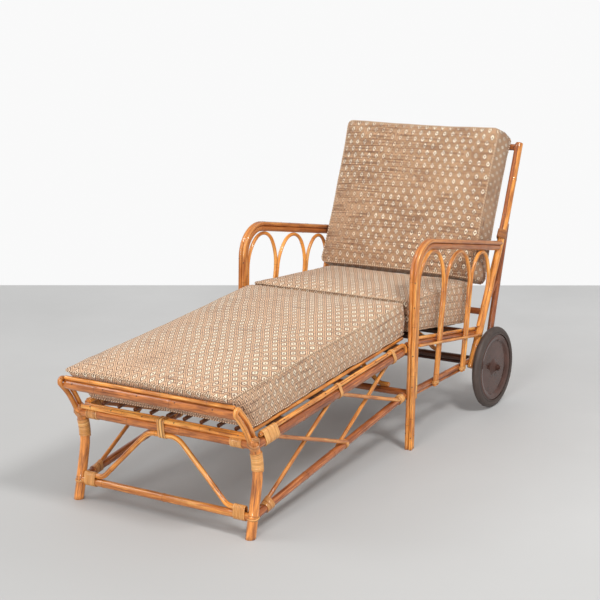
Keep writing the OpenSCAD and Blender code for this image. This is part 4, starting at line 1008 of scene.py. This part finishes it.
material, tree, shader = new_material("seam_cord")
grain = add(tree, "ShaderNodeAttribute", attribute_name="grain").outputs["Vector"]
parts = add(tree, "ShaderNodeSeparateXYZ", {0: grain}).outputs
round_cord = math_of(tree, "MULTIPLY", parts["X"], 900.0)
turns = math_of(tree, "MULTIPLY_ADD", parts["Z"], 2 * math.pi / 0.0085, round_cord)
stripe = math_of(tree, "MULTIPLY_ADD", math_of(tree, "SINE", turns), 0.5, 0.5)
colour = ramp(tree, stripe, [(0.2, (0.23, 0.115, 0.06)), (0.5, (0.50, 0.31, 0.18)),
                             (0.75, (0.80, 0.62, 0.44))])
tree.links.new(colour, shader.inputs["Base Color"])
shader.inputs["Roughness"].default_value = 0.85
bump = add(tree, "ShaderNodeBump", {"Height": stripe, "Strength": 0.6, "Distance": 0.0008})
tree.links.new(bump.outputs["Normal"], shader.inputs["Normal"])
piping = material


def half_way(foot_y, foot_z, slope, length):
    """Middle of the underside of a pad that lies up a slope from its foot end."""
    return 0, foot_y + length / 2 * math.cos(slope), foot_z + length / 2 * math.sin(slope)


pad_w, leg_pad_l, seat_pad_l = 0.592, 0.846, 0.426
stuffed("leg_cushion_pad", "leg_cushion", half_way(-0.7482, 0.2903, rest_tilt, leg_pad_l), rest_tilt,
        pad_w, leg_pad_l, thick=0.117, lean=-0.092, tail=0.005, lift=-0.017, sag=0.002, voxel=0.0075)
stuffed("seat_cushion_pad", "seat_cushion", half_way(0.0992, 0.3577, seat_tilt, seat_pad_l), seat_tilt,
        pad_w, seat_pad_l, thick=0.098, lean=-0.031, tail=0.014, lift=0.033, sag=0.002, voxel=0.007)
lean_back = math.radians(-23.5)
back_pad_w, back_pad_l, back_pad_t = 0.604, 0.5355, 0.103
up_back = Matrix.Rotation(lean_back, 3, "X") @ Vector((0, back_pad_t, back_pad_l / 2))
stuffed("back_cushion_pad", "back_cushion", Vector((0, 0.5122, 0.4349)) + up_back, lean_back,
        back_pad_w, back_pad_l, thick=back_pad_t, lean=0, tail=0, lift=0, sag=0.006, voxel=0.007,
        cover=back_cloth, flip=Matrix.Rotation(math.radians(90), 3, "X"))

# Wheels: pressed discs with mottled brown paint flecked paler, in solid rubber tyres, on
# a painted rod with cap nuts.
material, tree, shader = new_material("wheel_paint")
spot = add(tree, "ShaderNodeTexCoord").outputs["Object"]
cloudy = add(tree, "ShaderNodeTexNoise", {"Vector": spot, "Scale": 16.0, "Detail": 5.0,
                                          "Roughness": 0.6}).outputs["Fac"]
speck = add(tree, "ShaderNodeTexNoise", {"Vector": spot, "Scale": 240.0, "Detail": 2.0}).outputs["Fac"]
paint = ramp(tree, cloudy, [(0.35, (0.066, 0.030, 0.022)), (0.65, (0.105, 0.048, 0.036))])
paint = mix(tree, math_of(tree, "MULTIPLY_ADD", speck, 12.0, -8.4, clamp=True), paint, (0.20, 0.11, 0.075))
tree.links.new(paint, shader.inputs["Base Color"])
tree.links.new(math_of(tree, "MULTIPLY_ADD", cloudy, 0.2, 0.12), shader.inputs["Roughness"])
shader.inputs["Specular IOR Level"].default_value = 0.3
shader.inputs["Coat Weight"].default_value = 0.25
bump = add(tree, "ShaderNodeBump", {"Height": speck, "Strength": 0.12, "Distance": 0.0004})
tree.links.new(bump.outputs["Normal"], shader.inputs["Normal"])
wheel_paint = material

material, tree, shader = new_material("tyre_rubber")
spot = add(tree, "ShaderNodeTexCoord").outputs["Object"]
dust = add(tree, "ShaderNodeTexNoise", {"Vector": spot, "Scale": 22.0, "Detail": 6.0,
                                        "Roughness": 0.7}).outputs["Fac"]
grit = add(tree, "ShaderNodeTexNoise", {"Vector": spot, "Scale": 420.0, "Detail": 2.0}).outputs["Fac"]
tree.links.new(ramp(tree, dust, [(0.3, (0.048, 0.033, 0.027)), (0.6, (0.080, 0.055, 0.045)),
                                 (0.8, (0.11, 0.088, 0.074))]), shader.inputs["Base Color"])
tree.links.new(math_of(tree, "MULTIPLY_ADD", dust, 0.35, 0.36), shader.inputs["Roughness"])
bump = add(tree, "ShaderNodeBump", {"Height": grit, "Strength": 0.25, "Distance": 0.0004})
tree.links.new(bump.outputs["Normal"], shader.inputs["Normal"])
tyre_rubber = material

for kind, material in (("wheel_left", wheel_paint), ("wheel_right", wheel_paint), ("tyre_left", tyre_rubber),
                       ("tyre_right", tyre_rubber), ("axle_rod", wheel_paint), ("axle_nuts", wheel_paint)):
    for held in nodes[kind].material_slots:
        held.material = material
